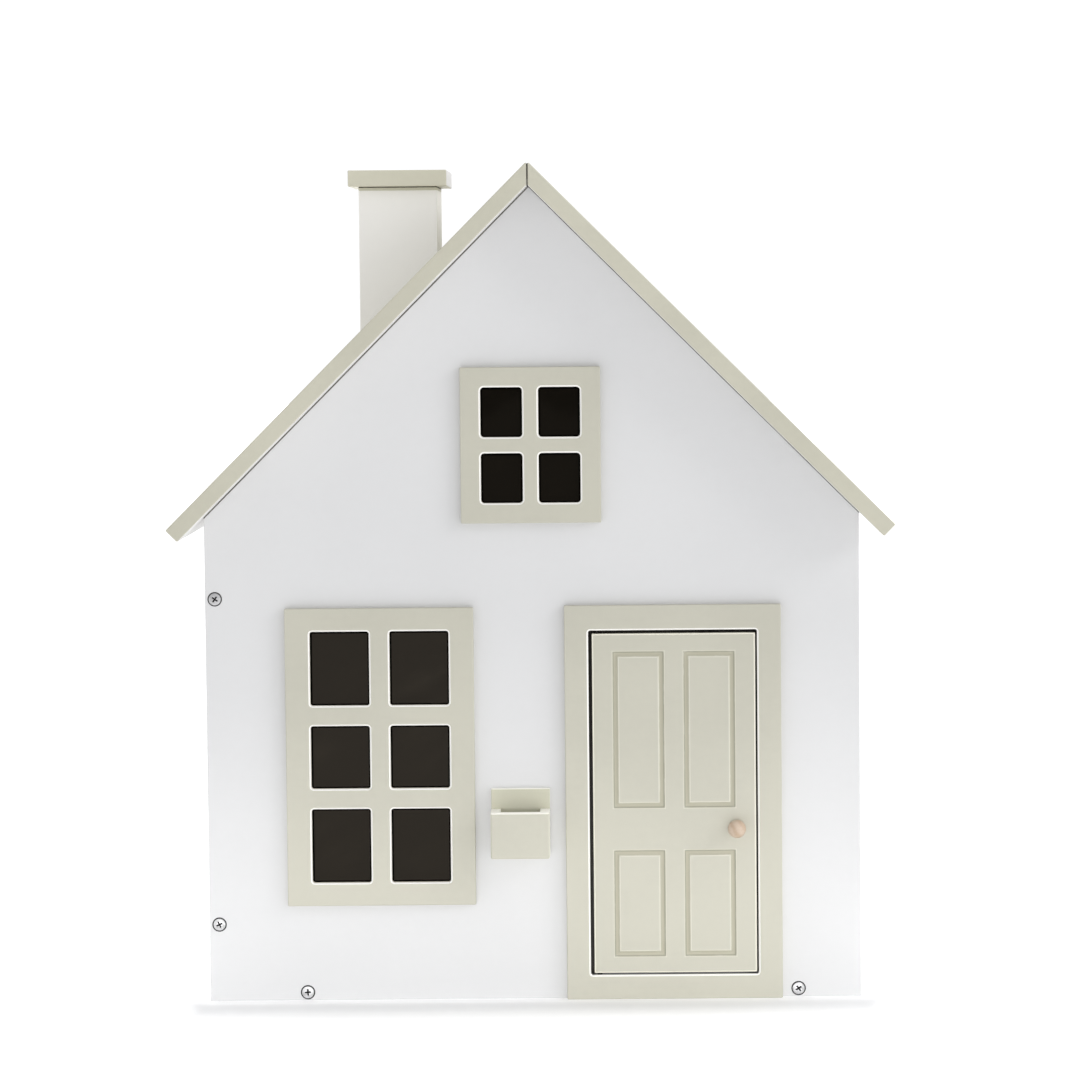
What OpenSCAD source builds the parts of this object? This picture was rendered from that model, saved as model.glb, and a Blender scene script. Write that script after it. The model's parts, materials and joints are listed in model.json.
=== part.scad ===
// Wooden dollhouse with a pitched roof, a front door that opens, two windows, a chimney and a letter box.
// Millimetres. X runs along the front to the right, Y runs from the front to the back, Z is up.
// The origin is in the middle of the footprint, on the ground under the ridge.

/* [Main sizes] */
// Width of the house over the side walls
house_w = 470; // [450:1:500]
// Depth of the house from the face of the front wall to the back edge
house_d = 258; // [220:1:320]
// Height of the roof's ridge over the ground
ridge_z = 602; // [590:1:620]
// Thickness of the boards of the walls, floors and roof
board = 12; // [10:0.5:14]
// Height of the attic floor's lower face
attic_z = 296; // [292:1:304]

/* [Roof] */
// Half of the roof's width, from the ridge to the tip of the eaves
roof_half = 259.6; // [252:0.2:266]
// How far the roof reaches past the front wall
overhang_front = 30; // [22:1:36]
// How far the roof reaches past the back edge
overhang_back = 12; // [4:1:20]
// Side of the square ridge batten
ridge_batten_w = 20; // [14:1:24]
// Side of the cleats that hold the roof
cleat = 12; // [10:1:14]

/* [Chimney] */
// Width of the chimney shaft, seen from the front
shaft_w = 58; // [50:1:66]
// Depth of the chimney shaft
shaft_d = 76; // [56:1:84]
// Middle of the shaft, left of the ridge
shaft_x = -98.4; // [-112:0.2:-95]
// Middle of the shaft along the depth
shaft_y = 18; // [-20:1:40]
// Thickness of the shaft's boards
shaft_board = 9; // [6:0.5:10]
// Width of the cap, seen from the front
cap_w = 73; // [70:1:80]
// Depth of the cap
cap_d = 91; // [88:1:98]
// Thickness of the cap
cap_t = 12; // [10:0.5:16]
// Top of the cap over the ground
cap_z = 599.7; // [597:0.1:620]
// How far the fixing block in the shaft stands over the roof at its high side
block_over = 14; // [8:1:20]

/* [Lower window] */
// Middle of the lower window
low_win_x = -110; // [-114:0.5:-106]
// Underside of the lower window's frame
low_win_z = 69.5; // [60:0.5:76]
// Width of the lower window's frame
low_win_w = 135.4; // [130:0.2:140]
// Height of the lower window's frame
low_win_h = 214.6; // [210:0.2:218]
// Width of each opening
low_light_w = 42.4; // [38:0.2:44]
// Height of the top and bottom openings
low_light_h = 53.2; // [50:0.2:54]
// Height of the middle openings
low_light_mid = 45.2; // [42:0.2:46]
// Width of the glazing bars of the lower window
low_bar = 14.8; // [13:0.2:16]
// Corner radius of the lower openings
low_corner = 1.8; // [1:0.1:3]

/* [Upper window] */
// Underside of the upper window's frame
up_win_z = 344.4; // [338:0.1:350]
// Width of the upper window's frame
up_win_w = 100.4; // [96:0.2:104]
// Height of the upper window's frame
up_win_h = 111.6; // [108:0.2:114]
// Width of each opening
up_light_w = 29.8; // [28:0.2:31]
// Height of each opening
up_light_h = 35.6; // [34:0.2:37]
// Width of the glazing bars of the upper window
up_bar = 11.6; // [10.6:0.2:12.6]
// Corner radius of the upper openings
up_corner = 2.5; // [1.5:0.1:3.5]

/* [Frames and panes] */
// Thickness of the frames on the front wall
frame_t = 6; // [5:0.5:8]
// Thickness of the window panes
pane_t = 3; // [2:0.5:4]
// How far each pane laps behind its frame's border
pane_lap = 8; // [6:0.5:10]

/* [Door] */
// Middle of the door frame
door_x = 100.5; // [96:0.5:104]
// Width of the door frame
door_frame_w = 155.4; // [152:0.2:160]
// Height of the door frame
door_frame_h = 284.8; // [280:0.2:288]
// Width of the doorway
doorway_w = 121; // [118:0.5:122]
// Height of the sill
sill_h = 17.7; // [16:0.1:20]
// Height of the doorway
doorway_h = 249; // [244:1:250]
// Thickness of the door leaf
leaf_t = 9; // [8:0.5:9.5]
// How far the leaf sits behind the face of its frame
leaf_in = 1; // [0.5:0.1:1.5]
// Gap at the hinge side
gap_hinge = 2.4; // [2:0.1:3]
// Gap at the knob side
gap_knob = 1.2; // [1:0.1:1.8]
// Gap over the leaf
gap_top = 1.8; // [1:0.1:2.4]
// Gap under the leaf
gap_sill = 1.2; // [1.2:0.1:2]
// Radius of the leaf's upright edges
leaf_edge = 1.2; // [0.8:0.1:1.4]
// Distance of the hinge pins from the leaf's edge
pin_in = 4; // [3.5:0.1:5]
// Diameter of the hinge pins
pin_d = 2; // [1.8:0.1:2.2]
// Length of each hinge pin
pin_len = 28; // [26:0.5:30]
// Running clearance of the pins in the leaf, on the radius
pin_play = 0.05; // [0.03:0.01:0.1]

/* [Door panels] */
// Width of a routed panel, over its groove
panel_w = 37.2; // [35:0.2:39]
// Space between the two columns of panels
panel_gap = 13.6; // [12:0.2:15]
// Underside of the lower panels over the ground
panel_low_z = 30.6; // [29:0.2:33]
// Height of the lower panels
panel_low_h = 77.4; // [74:0.2:80]
// Underside of the upper panels over the ground
panel_high_z = 138.2; // [136:0.2:140]
// Height of the upper panels
panel_high_h = 113.4; // [110:0.2:116]
// Radius of the cove cutter
cove_r = 2.4; // [2:0.1:3]
// Depth of the cove
cove_deep = 1.3; // [1:0.1:1.6]

/* [Knob] */
// Diameter of the wooden knob
knob_d = 13; // [11:0.5:14]
// Middle of the knob over the ground
knob_z = 123.8; // [120:0.2:128]
// Middle of the knob from the house's middle
knob_x = 145.6; // [143:0.2:148]
// Length of the knob's neck
knob_neck = 2; // [1.5:0.1:3]

/* [Letter box] */
// Middle of the letter box
box_x = -9.6; // [-11:0.2:-8]
// Width of the letter box
box_w = 42.2; // [40:0.2:44]
// Underside of the letter box
box_z = 105.4; // [102:0.1:110]
// Height of the letter box at its front
box_h = 33.4; // [31:0.2:36]
// Height of the back plate
box_back_h = 47.9; // [45:0.1:50]
// Thickness of the back plate
box_back_t = 5; // [4:0.5:6]
// How far the letter box stands out from the wall
box_out = 29; // [26:0.5:29.5]
// Thickness of the letter box's side boards
box_side_t = 7; // [6:0.5:8]
// Thickness of the front board and the bottom
box_front_t = 6; // [5:0.5:7]

/* [Screws] */
// Diameter of the screw heads
head_d = 10.4; // [9:0.1:11]
// Diameter of the screw shanks
shank_d = 4; // [3.5:0.1:4.5]
// Height of a screw head's cone
head_cone = 3; // [2.6:0.1:3.4]
// Height of a screw head's flat rim, that stands out
head_rim = 0.6; // [0.4:0.1:0.8]
// Height of the upper screw in the front wall's left edge
edge_screw_high = 291.2; // [285:0.2:294]
// Height of the lower screw in the front wall's left edge
edge_screw_low = 55.8; // [50:0.2:60]
// Left screw into the base, from the middle
base_screw_left = -164.6; // [-170:0.2:-160]
// Right screw into the base, from the middle
base_screw_right = 189.7; // [186:0.2:194]

/* [Hidden] */

white = [0.93, 0.93, 0.93];
sage = [0.80, 0.80, 0.72];
bare = [0.86, 0.76, 0.60];
steel = [0.72, 0.72, 0.74];
smoke = [0.10, 0.09, 0.08];

round_fn = 48;
fine_fn = 32;
eps = 1;
half = 0.5;
diag = sqrt(2);
half_w = house_w / 2;
total_d = overhang_front + house_d + overhang_back;
roof_front = -total_d / 2;
roof_back = total_d / 2;
wall_front = roof_front + overhang_front;
wall_back = wall_front + board;
house_back = wall_front + house_d;
frame_front = wall_front - frame_t;
inner_ridge = ridge_z - board * diag;
inner_w = half_w - board;
room_d = house_back - wall_back;
eave_tip = board / diag;
cleat_drop = cleat * diag;
big = 1000;

shaft_low = ridge_z + shaft_x - shaft_w / 2;
shaft_high = ridge_z + shaft_x + shaft_w / 2;
shaft_front = shaft_y - shaft_d / 2;
shaft_back = shaft_y + shaft_d / 2;
shaft_left = shaft_x - shaft_w / 2;
shaft_right = shaft_x + shaft_w / 2;
shaft_top = cap_z - cap_t;

low_win_stile = (low_win_w - 2 * low_light_w - low_bar) / 2;
low_win_rail = (low_win_h - 2 * low_light_h - low_light_mid - 2 * low_bar) / 2;
low_win_left = low_win_x - low_win_w / 2;
low_col = [low_win_left + low_win_stile, low_win_left + low_win_stile + low_light_w + low_bar];
low_row_1 = low_win_z + low_win_rail;
low_row_2 = low_row_1 + low_light_h + low_bar;
low_row_3 = low_row_2 + low_light_mid + low_bar;

up_win_stile = (up_win_w - 2 * up_light_w - up_bar) / 2;
up_win_rail = (up_win_h - 2 * up_light_h - up_bar) / 2;
up_col = [-up_win_w / 2 + up_win_stile, up_bar / 2];
up_row = [up_win_z + up_win_rail, up_win_z + up_win_rail + up_light_h + up_bar];

doorway_left = door_x - doorway_w / 2;
doorway_right = door_x + doorway_w / 2;
doorway_top = sill_h + doorway_h;
doorway_corner = 1.5;
leaf_left = doorway_left + gap_hinge;
leaf_right = doorway_right - gap_knob;
leaf_low = sill_h + gap_sill;
leaf_high = doorway_top - gap_top;
leaf_w = leaf_right - leaf_left;
leaf_h = leaf_high - leaf_low;
leaf_front = frame_front + leaf_in;
leaf_back = leaf_front + leaf_t;
pin_x = leaf_left + pin_in;
pin_back = 3.5;
pin_y = frame_front + pin_back;
pin_end = 0.4;
pin_bore_more = 1;
washer_t = 0.9;
washer_d = 3.6;
panel_mid = (leaf_left + leaf_right) / 2;
panel_cols = [panel_mid - panel_gap / 2 - panel_w, panel_mid + panel_gap / 2];
cove_out = cove_r - cove_deep;
cove_half = sqrt(cove_r * cove_r - cove_out * cove_out);

stop_w = 8;
stop_gap = 0.3;
stop_thin = 5;
swing_room = 1.4;
stop_front = leaf_back + stop_gap;
magnet_d = 5;
magnet_t = 3;
magnet_in = 0.2;
magnet_z = 150;
magnet_edge = 4.4;
magnet_x = doorway_right - magnet_edge;
plate_d = 6;
plate_t = 1;
plate_in = 0.1;
plate_edge = 4.5;
plate_x = leaf_right - plate_edge;

neck_d = 6;
screw_pilot = 2.4;
knob_screw_head = 6;
knob_screw_cap = 1.6;
knob_screw_in = 7;
knob_slot_l = 3.2;
knob_slot_w = 0.8;
knob_slot_t = 0.9;
knob_sink = 0.6;
knob_y = leaf_front - knob_neck - knob_d / 2 + knob_sink;

recess_w = 1.1;
recess_l = 5.4;
recess_t = 1.8;
edge_screw_in = 7.2;
front_screw = 32;
side_screw = 30;
roof_screw = 29;
chimney_screw = 22;
screw_apart = 8;
screw_inset = 40;
screw_y = [wall_back + screw_inset, house_back - screw_inset];

// A board's outline in X and Z, carried along Y
module along_y(y0, y1, points) {
  translate([0, y1, 0])
    rotate([90, 0, 0])
      linear_extrude(height = y1 - y0)
        polygon(points);
}

// A box from its low corner to its high corner
module block(low, high) {
  translate(low)
    cube(high - low);
}

// A plate across the front wall with a rounded outline
module round_hole(x, z, w, h, r, y0, y1) {
  block([x + r, y0, z], [x + w - r, y1, z + h]);
  block([x, y0, z + r], [x + w, y1, z + h - r]);
  for (cx = [x + r, x + w - r], cz = [z + r, z + h - r])
    translate([cx, y1, cz])
      rotate([90, 0, 0])
        cylinder(h = y1 - y0, r = r, $fn = fine_fn);
}

// A screw's solid without its recess, head on +Z, the rim's underside at zero
module screw_body(length) {
  cylinder(h = head_rim, d = head_d, $fn = round_fn);
  translate([0, 0, -head_cone])
    cylinder(h = head_cone, d1 = shank_d, d2 = head_d - 1, $fn = round_fn);
  translate([0, 0, -length])
    cylinder(h = length, d = shank_d, $fn = round_fn);
}

// A screw with its cross recess
module screw(length) {
  difference() {
    screw_body(length);
    for (turn = [0, 90])
      rotate([0, 0, turn])
        translate([-recess_l / 2, -recess_w / 2, head_rim - recess_t])
          cube([recess_l, recess_w, recess_t + eps]);
  }
}

// The hole that a screw needs, through its countersink
module screw_hole(length) {
  translate([0, 0, -head_cone])
    cylinder(h = head_cone, d1 = shank_d, d2 = head_d - 1, $fn = round_fn);
  translate([0, 0, -length])
    cylinder(h = length, d = shank_d, $fn = round_fn);
}

// Places for the screws, each with +Z out of the surface
module at_edge_screws() {
  for (z = [edge_screw_low, edge_screw_high])
    translate([-half_w + edge_screw_in, wall_front, z])
      rotate([90, 0, 0])
        children();
}

module at_base_screws() {
  for (x = [base_screw_left, base_screw_right])
    translate([x, wall_front, board / 2])
      rotate([90, 0, 0])
        children();
}

module at_side_screws() {
  for (side = [-1, 1], y = screw_y, z = [board / 2, attic_z + board / 2])
    translate([side * half_w, y, z])
      rotate([0, side * 90, 0])
        children();
}

module at_roof_screws() {
  for (side = [-1, 1], y = screw_y)
    translate([
      side * ridge_batten_w * half / diag,
      y + side * screw_apart,
      inner_ridge - ridge_batten_w * 1.5 / diag
    ])
      rotate([0, side * 135, 0])
        children();
}

module at_chimney_screws() {
  for (y = [shaft_y - shaft_d / 5, shaft_y + shaft_d / 5])
    translate([shaft_x, y, inner_ridge + shaft_x])
      rotate([0, 135, 0])
        children();
}

module front_wall() {
  color(white)
    difference() {
      along_y(wall_front, wall_back, [
        [-half_w, 0], [half_w, 0],
        [half_w, inner_ridge - half_w], [0, inner_ridge], [-half_w, inner_ridge - half_w]
      ]);
      block(
        [doorway_left, wall_front - eps, sill_h],
        [doorway_right, wall_back + eps, doorway_top]
      );
      block(
        [low_win_left + pane_lap, wall_front - eps, low_win_z + pane_lap],
        [low_win_left + low_win_w - pane_lap, wall_back + eps, low_win_z + low_win_h - pane_lap]
      );
      block(
        [-up_win_w / 2 + pane_lap, wall_front - eps, up_win_z + pane_lap],
        [up_win_w / 2 - pane_lap, wall_back + eps, up_win_z + up_win_h - pane_lap]
      );
      at_edge_screws() screw_hole(front_screw);
      at_base_screws() screw_hole(front_screw);
    }
}

module side_wall(side) {
  color(white)
    difference() {
      along_y(wall_back, house_back, [
        [side * half_w, 0], [side * inner_w, 0],
        [side * inner_w, inner_ridge - inner_w], [side * half_w, inner_ridge - half_w]
      ]);
      at_edge_screws() screw_hole(front_screw);
      at_side_screws() screw_hole(side_screw);
    }
}

module left_wall() {
  side_wall(-1);
}

module right_wall() {
  side_wall(1);
}

module base_floor() {
  color(bare)
    difference() {
      block([-inner_w, wall_back, 0], [inner_w, house_back, board]);
      at_base_screws() screw_hole(front_screw);
      at_side_screws() screw_hole(side_screw);
    }
}

module attic_floor() {
  color(bare)
    difference() {
      block([-inner_w, wall_back, attic_z], [inner_w, house_back, attic_z + board]);
      at_side_screws() screw_hole(side_screw);
    }
}

module roof_board(side) {
  color(sage)
    difference() {
      along_y(roof_front, roof_back, [
        [0, ridge_z], [side * roof_half, ridge_z - roof_half],
        [side * (roof_half - eave_tip), ridge_z - roof_half - eave_tip], [0, inner_ridge]
      ]);
      at_roof_screws() screw_hole(roof_screw);
      at_chimney_screws() screw_hole(chimney_screw);
    }
}

module roof_left() {
  roof_board(-1);
}

module roof_right() {
  roof_board(1);
}

module ridge_batten() {
  color(bare)
    difference() {
      along_y(wall_back + cleat, house_back, [
        [0, inner_ridge],
        [-ridge_batten_w / diag, inner_ridge - ridge_batten_w / diag],
        [0, inner_ridge - ridge_batten_w * diag],
        [ridge_batten_w / diag, inner_ridge - ridge_batten_w / diag]
      ]);
      at_roof_screws() screw_hole(roof_screw);
    }
}

module gable_cleat(side) {
  color(bare)
    along_y(wall_back, wall_back + cleat, [
      [0, inner_ridge],
      [side * (inner_w - cleat), inner_ridge - inner_w + cleat],
      [side * (inner_w - cleat), inner_ridge - inner_w + cleat - cleat_drop],
      [0, inner_ridge - cleat_drop]
    ]);
}

module gable_cleat_left() {
  gable_cleat(-1);
}

module gable_cleat_right() {
  gable_cleat(1);
}

module eave_cleat(side) {
  color(bare)
    along_y(wall_back, house_back, [
      [side * inner_w, inner_ridge - inner_w],
      [side * (inner_w - cleat), inner_ridge - inner_w + cleat],
      [side * (inner_w - cleat), inner_ridge - inner_w - cleat],
      [side * inner_w, inner_ridge - inner_w - cleat]
    ]);
}

module eave_cleat_left() {
  eave_cleat(-1);
}

module eave_cleat_right() {
  eave_cleat(1);
}

module roof_screws() {
  color(steel)
    at_roof_screws() screw(roof_screw);
}

// The room under the shaft's foot, cut away along the roof's slope
module over_roof() {
  along_y(roof_front - eps, roof_back + eps, [
    [-big, ridge_z - big], [0, ridge_z], [big, ridge_z + big], [big, big * 2], [-big, big * 2]
  ]);
}

module chimney_front() {
  color(white)
    intersection() {
      block([shaft_left, shaft_front, 0], [shaft_right, shaft_front + shaft_board, shaft_top]);
      over_roof();
    }
}

module chimney_back() {
  color(white)
    intersection() {
      block(
        [shaft_left, shaft_back - shaft_board, 0],
        [shaft_right, shaft_back, shaft_top]
      );
      over_roof();
    }
}

module chimney_side(x) {
  color(white)
    intersection() {
      block(
        [x, shaft_front + shaft_board, 0],
        [x + shaft_board, shaft_back - shaft_board, shaft_top]
      );
      over_roof();
    }
}

module chimney_left() {
  chimney_side(shaft_left);
}

module chimney_right() {
  chimney_side(shaft_right - shaft_board);
}

module chimney_block() {
  color(bare)
    difference() {
      intersection() {
        block(
          [shaft_left + shaft_board, shaft_front + shaft_board, 0],
          [shaft_right - shaft_board, shaft_back - shaft_board, shaft_high + block_over]
        );
        over_roof();
      }
      at_chimney_screws() screw_hole(chimney_screw);
    }
}

module chimney_screws() {
  color(steel)
    at_chimney_screws() screw(chimney_screw);
}

module chimney_cap() {
  color(sage)
    block(
      [shaft_x - cap_w / 2, shaft_y - cap_d / 2, shaft_top],
      [shaft_x + cap_w / 2, shaft_y + cap_d / 2, cap_z]
    );
}

module lower_window_frame() {
  color(sage)
    difference() {
      block(
        [low_win_left, frame_front, low_win_z],
        [low_win_left + low_win_w, wall_front, low_win_z + low_win_h]
      );
      for (x = low_col) {
        round_hole(x, low_row_1, low_light_w, low_light_h, low_corner, frame_front - eps, wall_front + eps);
        round_hole(x, low_row_2, low_light_w, low_light_mid, low_corner, frame_front - eps, wall_front + eps);
        round_hole(x, low_row_3, low_light_w, low_light_h, low_corner, frame_front - eps, wall_front + eps);
      }
    }
}

module lower_window_pane() {
  color(smoke)
    block(
      [low_win_left + pane_lap, wall_front, low_win_z + pane_lap],
      [low_win_left + low_win_w - pane_lap, wall_front + pane_t, low_win_z + low_win_h - pane_lap]
    );
}

module upper_window_frame() {
  color(sage)
    difference() {
      block(
        [-up_win_w / 2, frame_front, up_win_z],
        [up_win_w / 2, wall_front, up_win_z + up_win_h]
      );
      for (x = up_col, z = up_row)
        round_hole(x, z, up_light_w, up_light_h, up_corner, frame_front - eps, wall_front + eps);
    }
}

module upper_window_pane() {
  color(smoke)
    block(
      [-up_win_w / 2 + pane_lap, wall_front, up_win_z + pane_lap],
      [up_win_w / 2 - pane_lap, wall_front + pane_t, up_win_z + up_win_h - pane_lap]
    );
}

// Both hinge pins' places, the lower one first
module at_pins() {
  translate([pin_x, pin_y, pin_end])
    children();
  translate([pin_x, pin_y, door_frame_h - pin_end - pin_len])
    children();
}

module door_frame() {
  color(sage)
    difference() {
      block(
        [door_x - door_frame_w / 2, frame_front, 0],
        [door_x + door_frame_w / 2, wall_front, door_frame_h]
      );
      round_hole(
        doorway_left, sill_h, doorway_w, doorway_h, doorway_corner, frame_front - eps, wall_front + eps
      );
      translate([pin_x, pin_y, -eps])
        cylinder(h = door_frame_h + 2 * eps, d = pin_d, $fn = round_fn);
    }
}

// One stroke of the cove cutter between two corners, with its round ends
module cove_x(x0, x1, z) {
  translate([x0, leaf_front - cove_out, z])
    rotate([0, 90, 0])
      cylinder(h = x1 - x0, r = cove_r, $fn = fine_fn);
}

module cove_z(x, z0, z1) {
  translate([x, leaf_front - cove_out, z0])
    cylinder(h = z1 - z0, r = cove_r, $fn = fine_fn);
}

module cove_loop(x, z, w, h) {
  x0 = x + cove_half;
  x1 = x + w - cove_half;
  z0 = z + cove_half;
  z1 = z + h - cove_half;
  cove_x(x0, x1, z0);
  cove_x(x0, x1, z1);
  cove_z(x0, z0, z1);
  cove_z(x1, z0, z1);
  for (cx = [x0, x1], cz = [z0, z1])
    translate([cx, leaf_front - cove_out, cz])
      rotate_extrude($fn = fine_fn)
        difference() {
          circle(r = cove_r, $fn = fine_fn);
          translate([-big, -big / 2])
            square([big, big]);
        }
}

module door_leaf() {
  color(sage)
    difference() {
      union() {
        block(
          [leaf_left + leaf_edge, leaf_front, leaf_low],
          [leaf_right - leaf_edge, leaf_back, leaf_high]
        );
        block(
          [leaf_left, leaf_front + leaf_edge, leaf_low],
          [leaf_right, leaf_back - leaf_edge, leaf_high]
        );
        for (x = [leaf_left + leaf_edge, leaf_right - leaf_edge])
          for (y = [leaf_front + leaf_edge, leaf_back - leaf_edge])
            translate([x, y, leaf_low])
              cylinder(h = leaf_h, r = leaf_edge, $fn = fine_fn);
      }
      for (x = panel_cols) {
        cove_loop(x, panel_low_z, panel_w, panel_low_h);
        cove_loop(x, panel_high_z, panel_w, panel_high_h);
      }
      for (z = [leaf_low - eps, door_frame_h - pin_end - pin_len - pin_bore_more])
        translate([pin_x, pin_y, z])
          cylinder(h = pin_end + pin_len + pin_bore_more - leaf_low + eps, r = pin_d / 2 + pin_play, $fn = round_fn);
      translate([knob_x, leaf_back + eps, knob_z])
        rotate([90, 0, 0])
          cylinder(h = leaf_t + 2 * eps, d = screw_pilot, $fn = round_fn);
      translate([plate_x, leaf_back + eps, magnet_z])
        rotate([90, 0, 0])
          cylinder(h = plate_t + plate_in + eps, d = plate_d, $fn = round_fn);
    }
}

module door_knob() {
  color(bare)
    difference() {
      union() {
        translate([knob_x, knob_y, knob_z])
          rotate([90, 0, 0])
            rotate_extrude($fn = round_fn)
              difference() {
                circle(d = knob_d, $fn = round_fn);
                translate([-knob_d, -knob_d])
                  square([knob_d, knob_d * 2]);
              }
        translate([knob_x, leaf_front, knob_z])
          rotate([90, 0, 0])
            cylinder(h = leaf_front - knob_y, d = neck_d, $fn = round_fn);
      }
      translate([knob_x, leaf_front + eps, knob_z])
        rotate([90, 0, 0])
          cylinder(h = knob_screw_in + eps, d = screw_pilot, $fn = round_fn);
    }
}

module knob_screw() {
  color(steel)
    translate([knob_x, leaf_back, knob_z])
      rotate([90, 0, 0]) {
        cylinder(h = leaf_t + knob_screw_in, d = screw_pilot, $fn = round_fn);
        difference() {
          translate([0, 0, -knob_screw_cap])
            cylinder(h = knob_screw_cap, d = knob_screw_head, $fn = round_fn);
          for (turn = [0, 90])
            rotate([0, 0, turn])
              translate([-knob_slot_l / 2, -knob_slot_w / 2, -knob_screw_cap - eps])
                cube([knob_slot_l, knob_slot_w, knob_slot_t + eps]);
        }
      }
}

module hinge_pins() {
  color(steel)
    at_pins()
      cylinder(h = pin_len, d = pin_d, $fn = round_fn);
}

module hinge_washer() {
  color(steel)
    translate([pin_x, pin_y, sill_h])
      difference() {
        cylinder(h = washer_t, d = washer_d, $fn = round_fn);
        translate([0, 0, -eps])
          cylinder(h = washer_t + 2 * eps, d = pin_d, $fn = round_fn);
      }
}

module door_stop_left() {
  color(bare)
    block(
      [doorway_left, stop_front + swing_room, sill_h],
      [doorway_left + stop_thin, wall_back, doorway_top]
    );
}

module door_stop_top() {
  color(bare)
    block(
      [doorway_left + stop_thin, stop_front + swing_room, doorway_top - stop_thin],
      [doorway_right - stop_w, wall_back, doorway_top]
    );
}

module door_stop_right() {
  color(bare)
    difference() {
      block(
        [doorway_right - stop_w, stop_front, sill_h],
        [doorway_right, wall_back, doorway_top]
      );
      translate([magnet_x, stop_front - eps, magnet_z])
        rotate([-90, 0, 0])
          cylinder(h = magnet_t + magnet_in + eps, d = magnet_d, $fn = round_fn);
    }
}

module catch_magnet() {
  color(steel)
    translate([magnet_x, stop_front + magnet_in, magnet_z])
      rotate([-90, 0, 0])
        cylinder(h = magnet_t, d = magnet_d, $fn = round_fn);
}

module catch_plate() {
  color(steel)
    translate([plate_x, leaf_back - plate_in, magnet_z])
      rotate([90, 0, 0])
        cylinder(h = plate_t, d = plate_d, $fn = round_fn);
}

module letterbox_back() {
  color(sage)
    block(
      [box_x - box_w / 2, wall_front - box_back_t, box_z],
      [box_x + box_w / 2, wall_front, box_z + box_back_h]
    );
}

module letterbox_front() {
  color(sage)
    block(
      [box_x - box_w / 2, wall_front - box_out, box_z],
      [box_x + box_w / 2, wall_front - box_out + box_front_t, box_z + box_h]
    );
}

module letterbox_side(x) {
  color(sage)
    block(
      [x, wall_front - box_out + box_front_t, box_z],
      [x + box_side_t, wall_front - box_back_t, box_z + box_h]
    );
}

module letterbox_left() {
  letterbox_side(box_x - box_w / 2);
}

module letterbox_right() {
  letterbox_side(box_x + box_w / 2 - box_side_t);
}

module letterbox_bottom() {
  color(sage)
    block(
      [box_x - box_w / 2 + box_side_t, wall_front - box_out + box_front_t, box_z],
      [box_x + box_w / 2 - box_side_t, wall_front - box_back_t, box_z + box_front_t]
    );
}

module edge_screws() {
  color(steel)
    at_edge_screws() screw(front_screw);
}

module base_screws() {
  color(steel)
    at_base_screws() screw(front_screw);
}

module side_screws() {
  color(steel)
    at_side_screws() screw(side_screw);
}

front_wall();
left_wall();
right_wall();
base_floor();
attic_floor();
roof_left();
roof_right();
ridge_batten();
gable_cleat_left();
gable_cleat_right();
eave_cleat_left();
eave_cleat_right();
roof_screws();
chimney_front();
chimney_back();
chimney_left();
chimney_right();
chimney_block();
chimney_cap();
chimney_screws();
lower_window_frame();
lower_window_pane();
upper_window_frame();
upper_window_pane();
door_frame();
door_leaf();
door_knob();
knob_screw();
hinge_pins();
hinge_washer();
door_stop_left();
door_stop_right();
door_stop_top();
catch_magnet();
catch_plate();
letterbox_back();
letterbox_front();
letterbox_left();
letterbox_right();
letterbox_bottom();
edge_screws();
base_screws();
side_screws();
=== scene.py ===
"""The looks of a white wooden dollhouse: painted boards, dark panes, a panelled door and a chimney.

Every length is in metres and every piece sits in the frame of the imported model. The house is built from
small classes: finishes make materials, shapes make meshes, and each sub-assembly builds its own pieces.
"""

import functools
import json
import logging
import math
from dataclasses import dataclass, replace
from enum import Enum
from typing import Any, Callable, ClassVar, Optional, Sequence, Union

import bmesh
import bpy
import numpy as np
from mathutils import Matrix, Vector
from mathutils.geometry import delaunay_2d_cdt

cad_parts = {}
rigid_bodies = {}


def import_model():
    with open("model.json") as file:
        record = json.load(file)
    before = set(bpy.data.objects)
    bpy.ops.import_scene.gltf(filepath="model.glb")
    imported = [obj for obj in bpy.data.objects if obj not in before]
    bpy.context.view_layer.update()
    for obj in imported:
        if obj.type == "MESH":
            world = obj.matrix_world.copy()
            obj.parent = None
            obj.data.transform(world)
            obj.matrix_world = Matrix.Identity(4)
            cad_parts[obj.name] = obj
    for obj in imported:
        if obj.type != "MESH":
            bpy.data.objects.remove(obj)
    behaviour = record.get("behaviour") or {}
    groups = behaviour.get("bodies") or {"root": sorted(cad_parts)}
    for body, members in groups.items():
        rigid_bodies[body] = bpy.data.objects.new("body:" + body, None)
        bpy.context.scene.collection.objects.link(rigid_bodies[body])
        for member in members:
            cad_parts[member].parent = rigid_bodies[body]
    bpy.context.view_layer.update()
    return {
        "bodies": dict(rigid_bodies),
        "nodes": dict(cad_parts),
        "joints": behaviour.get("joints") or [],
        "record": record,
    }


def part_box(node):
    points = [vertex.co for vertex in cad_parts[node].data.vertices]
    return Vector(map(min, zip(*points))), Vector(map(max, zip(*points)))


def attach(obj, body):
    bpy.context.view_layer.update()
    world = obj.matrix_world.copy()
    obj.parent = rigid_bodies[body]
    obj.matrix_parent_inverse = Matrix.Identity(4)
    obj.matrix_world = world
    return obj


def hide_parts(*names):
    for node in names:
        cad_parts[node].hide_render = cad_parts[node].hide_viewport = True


Array = np.ndarray
Socket = bpy.types.NodeSocket
Material = bpy.types.Material
Triple = tuple[float, float, float]
Range = tuple[float, float]
Band = tuple[float, float, Triple]
Operand = Union["Value", float]
Inputs = dict[Union[str, int], Any]
Relief = Callable[[Array, Array], Array]

LOG = logging.getLogger("dollhouse")
MM = 0.001
QUARTER = math.pi / 2.0
ZERO: Triple = (0.0, 0.0, 0.0)

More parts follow.
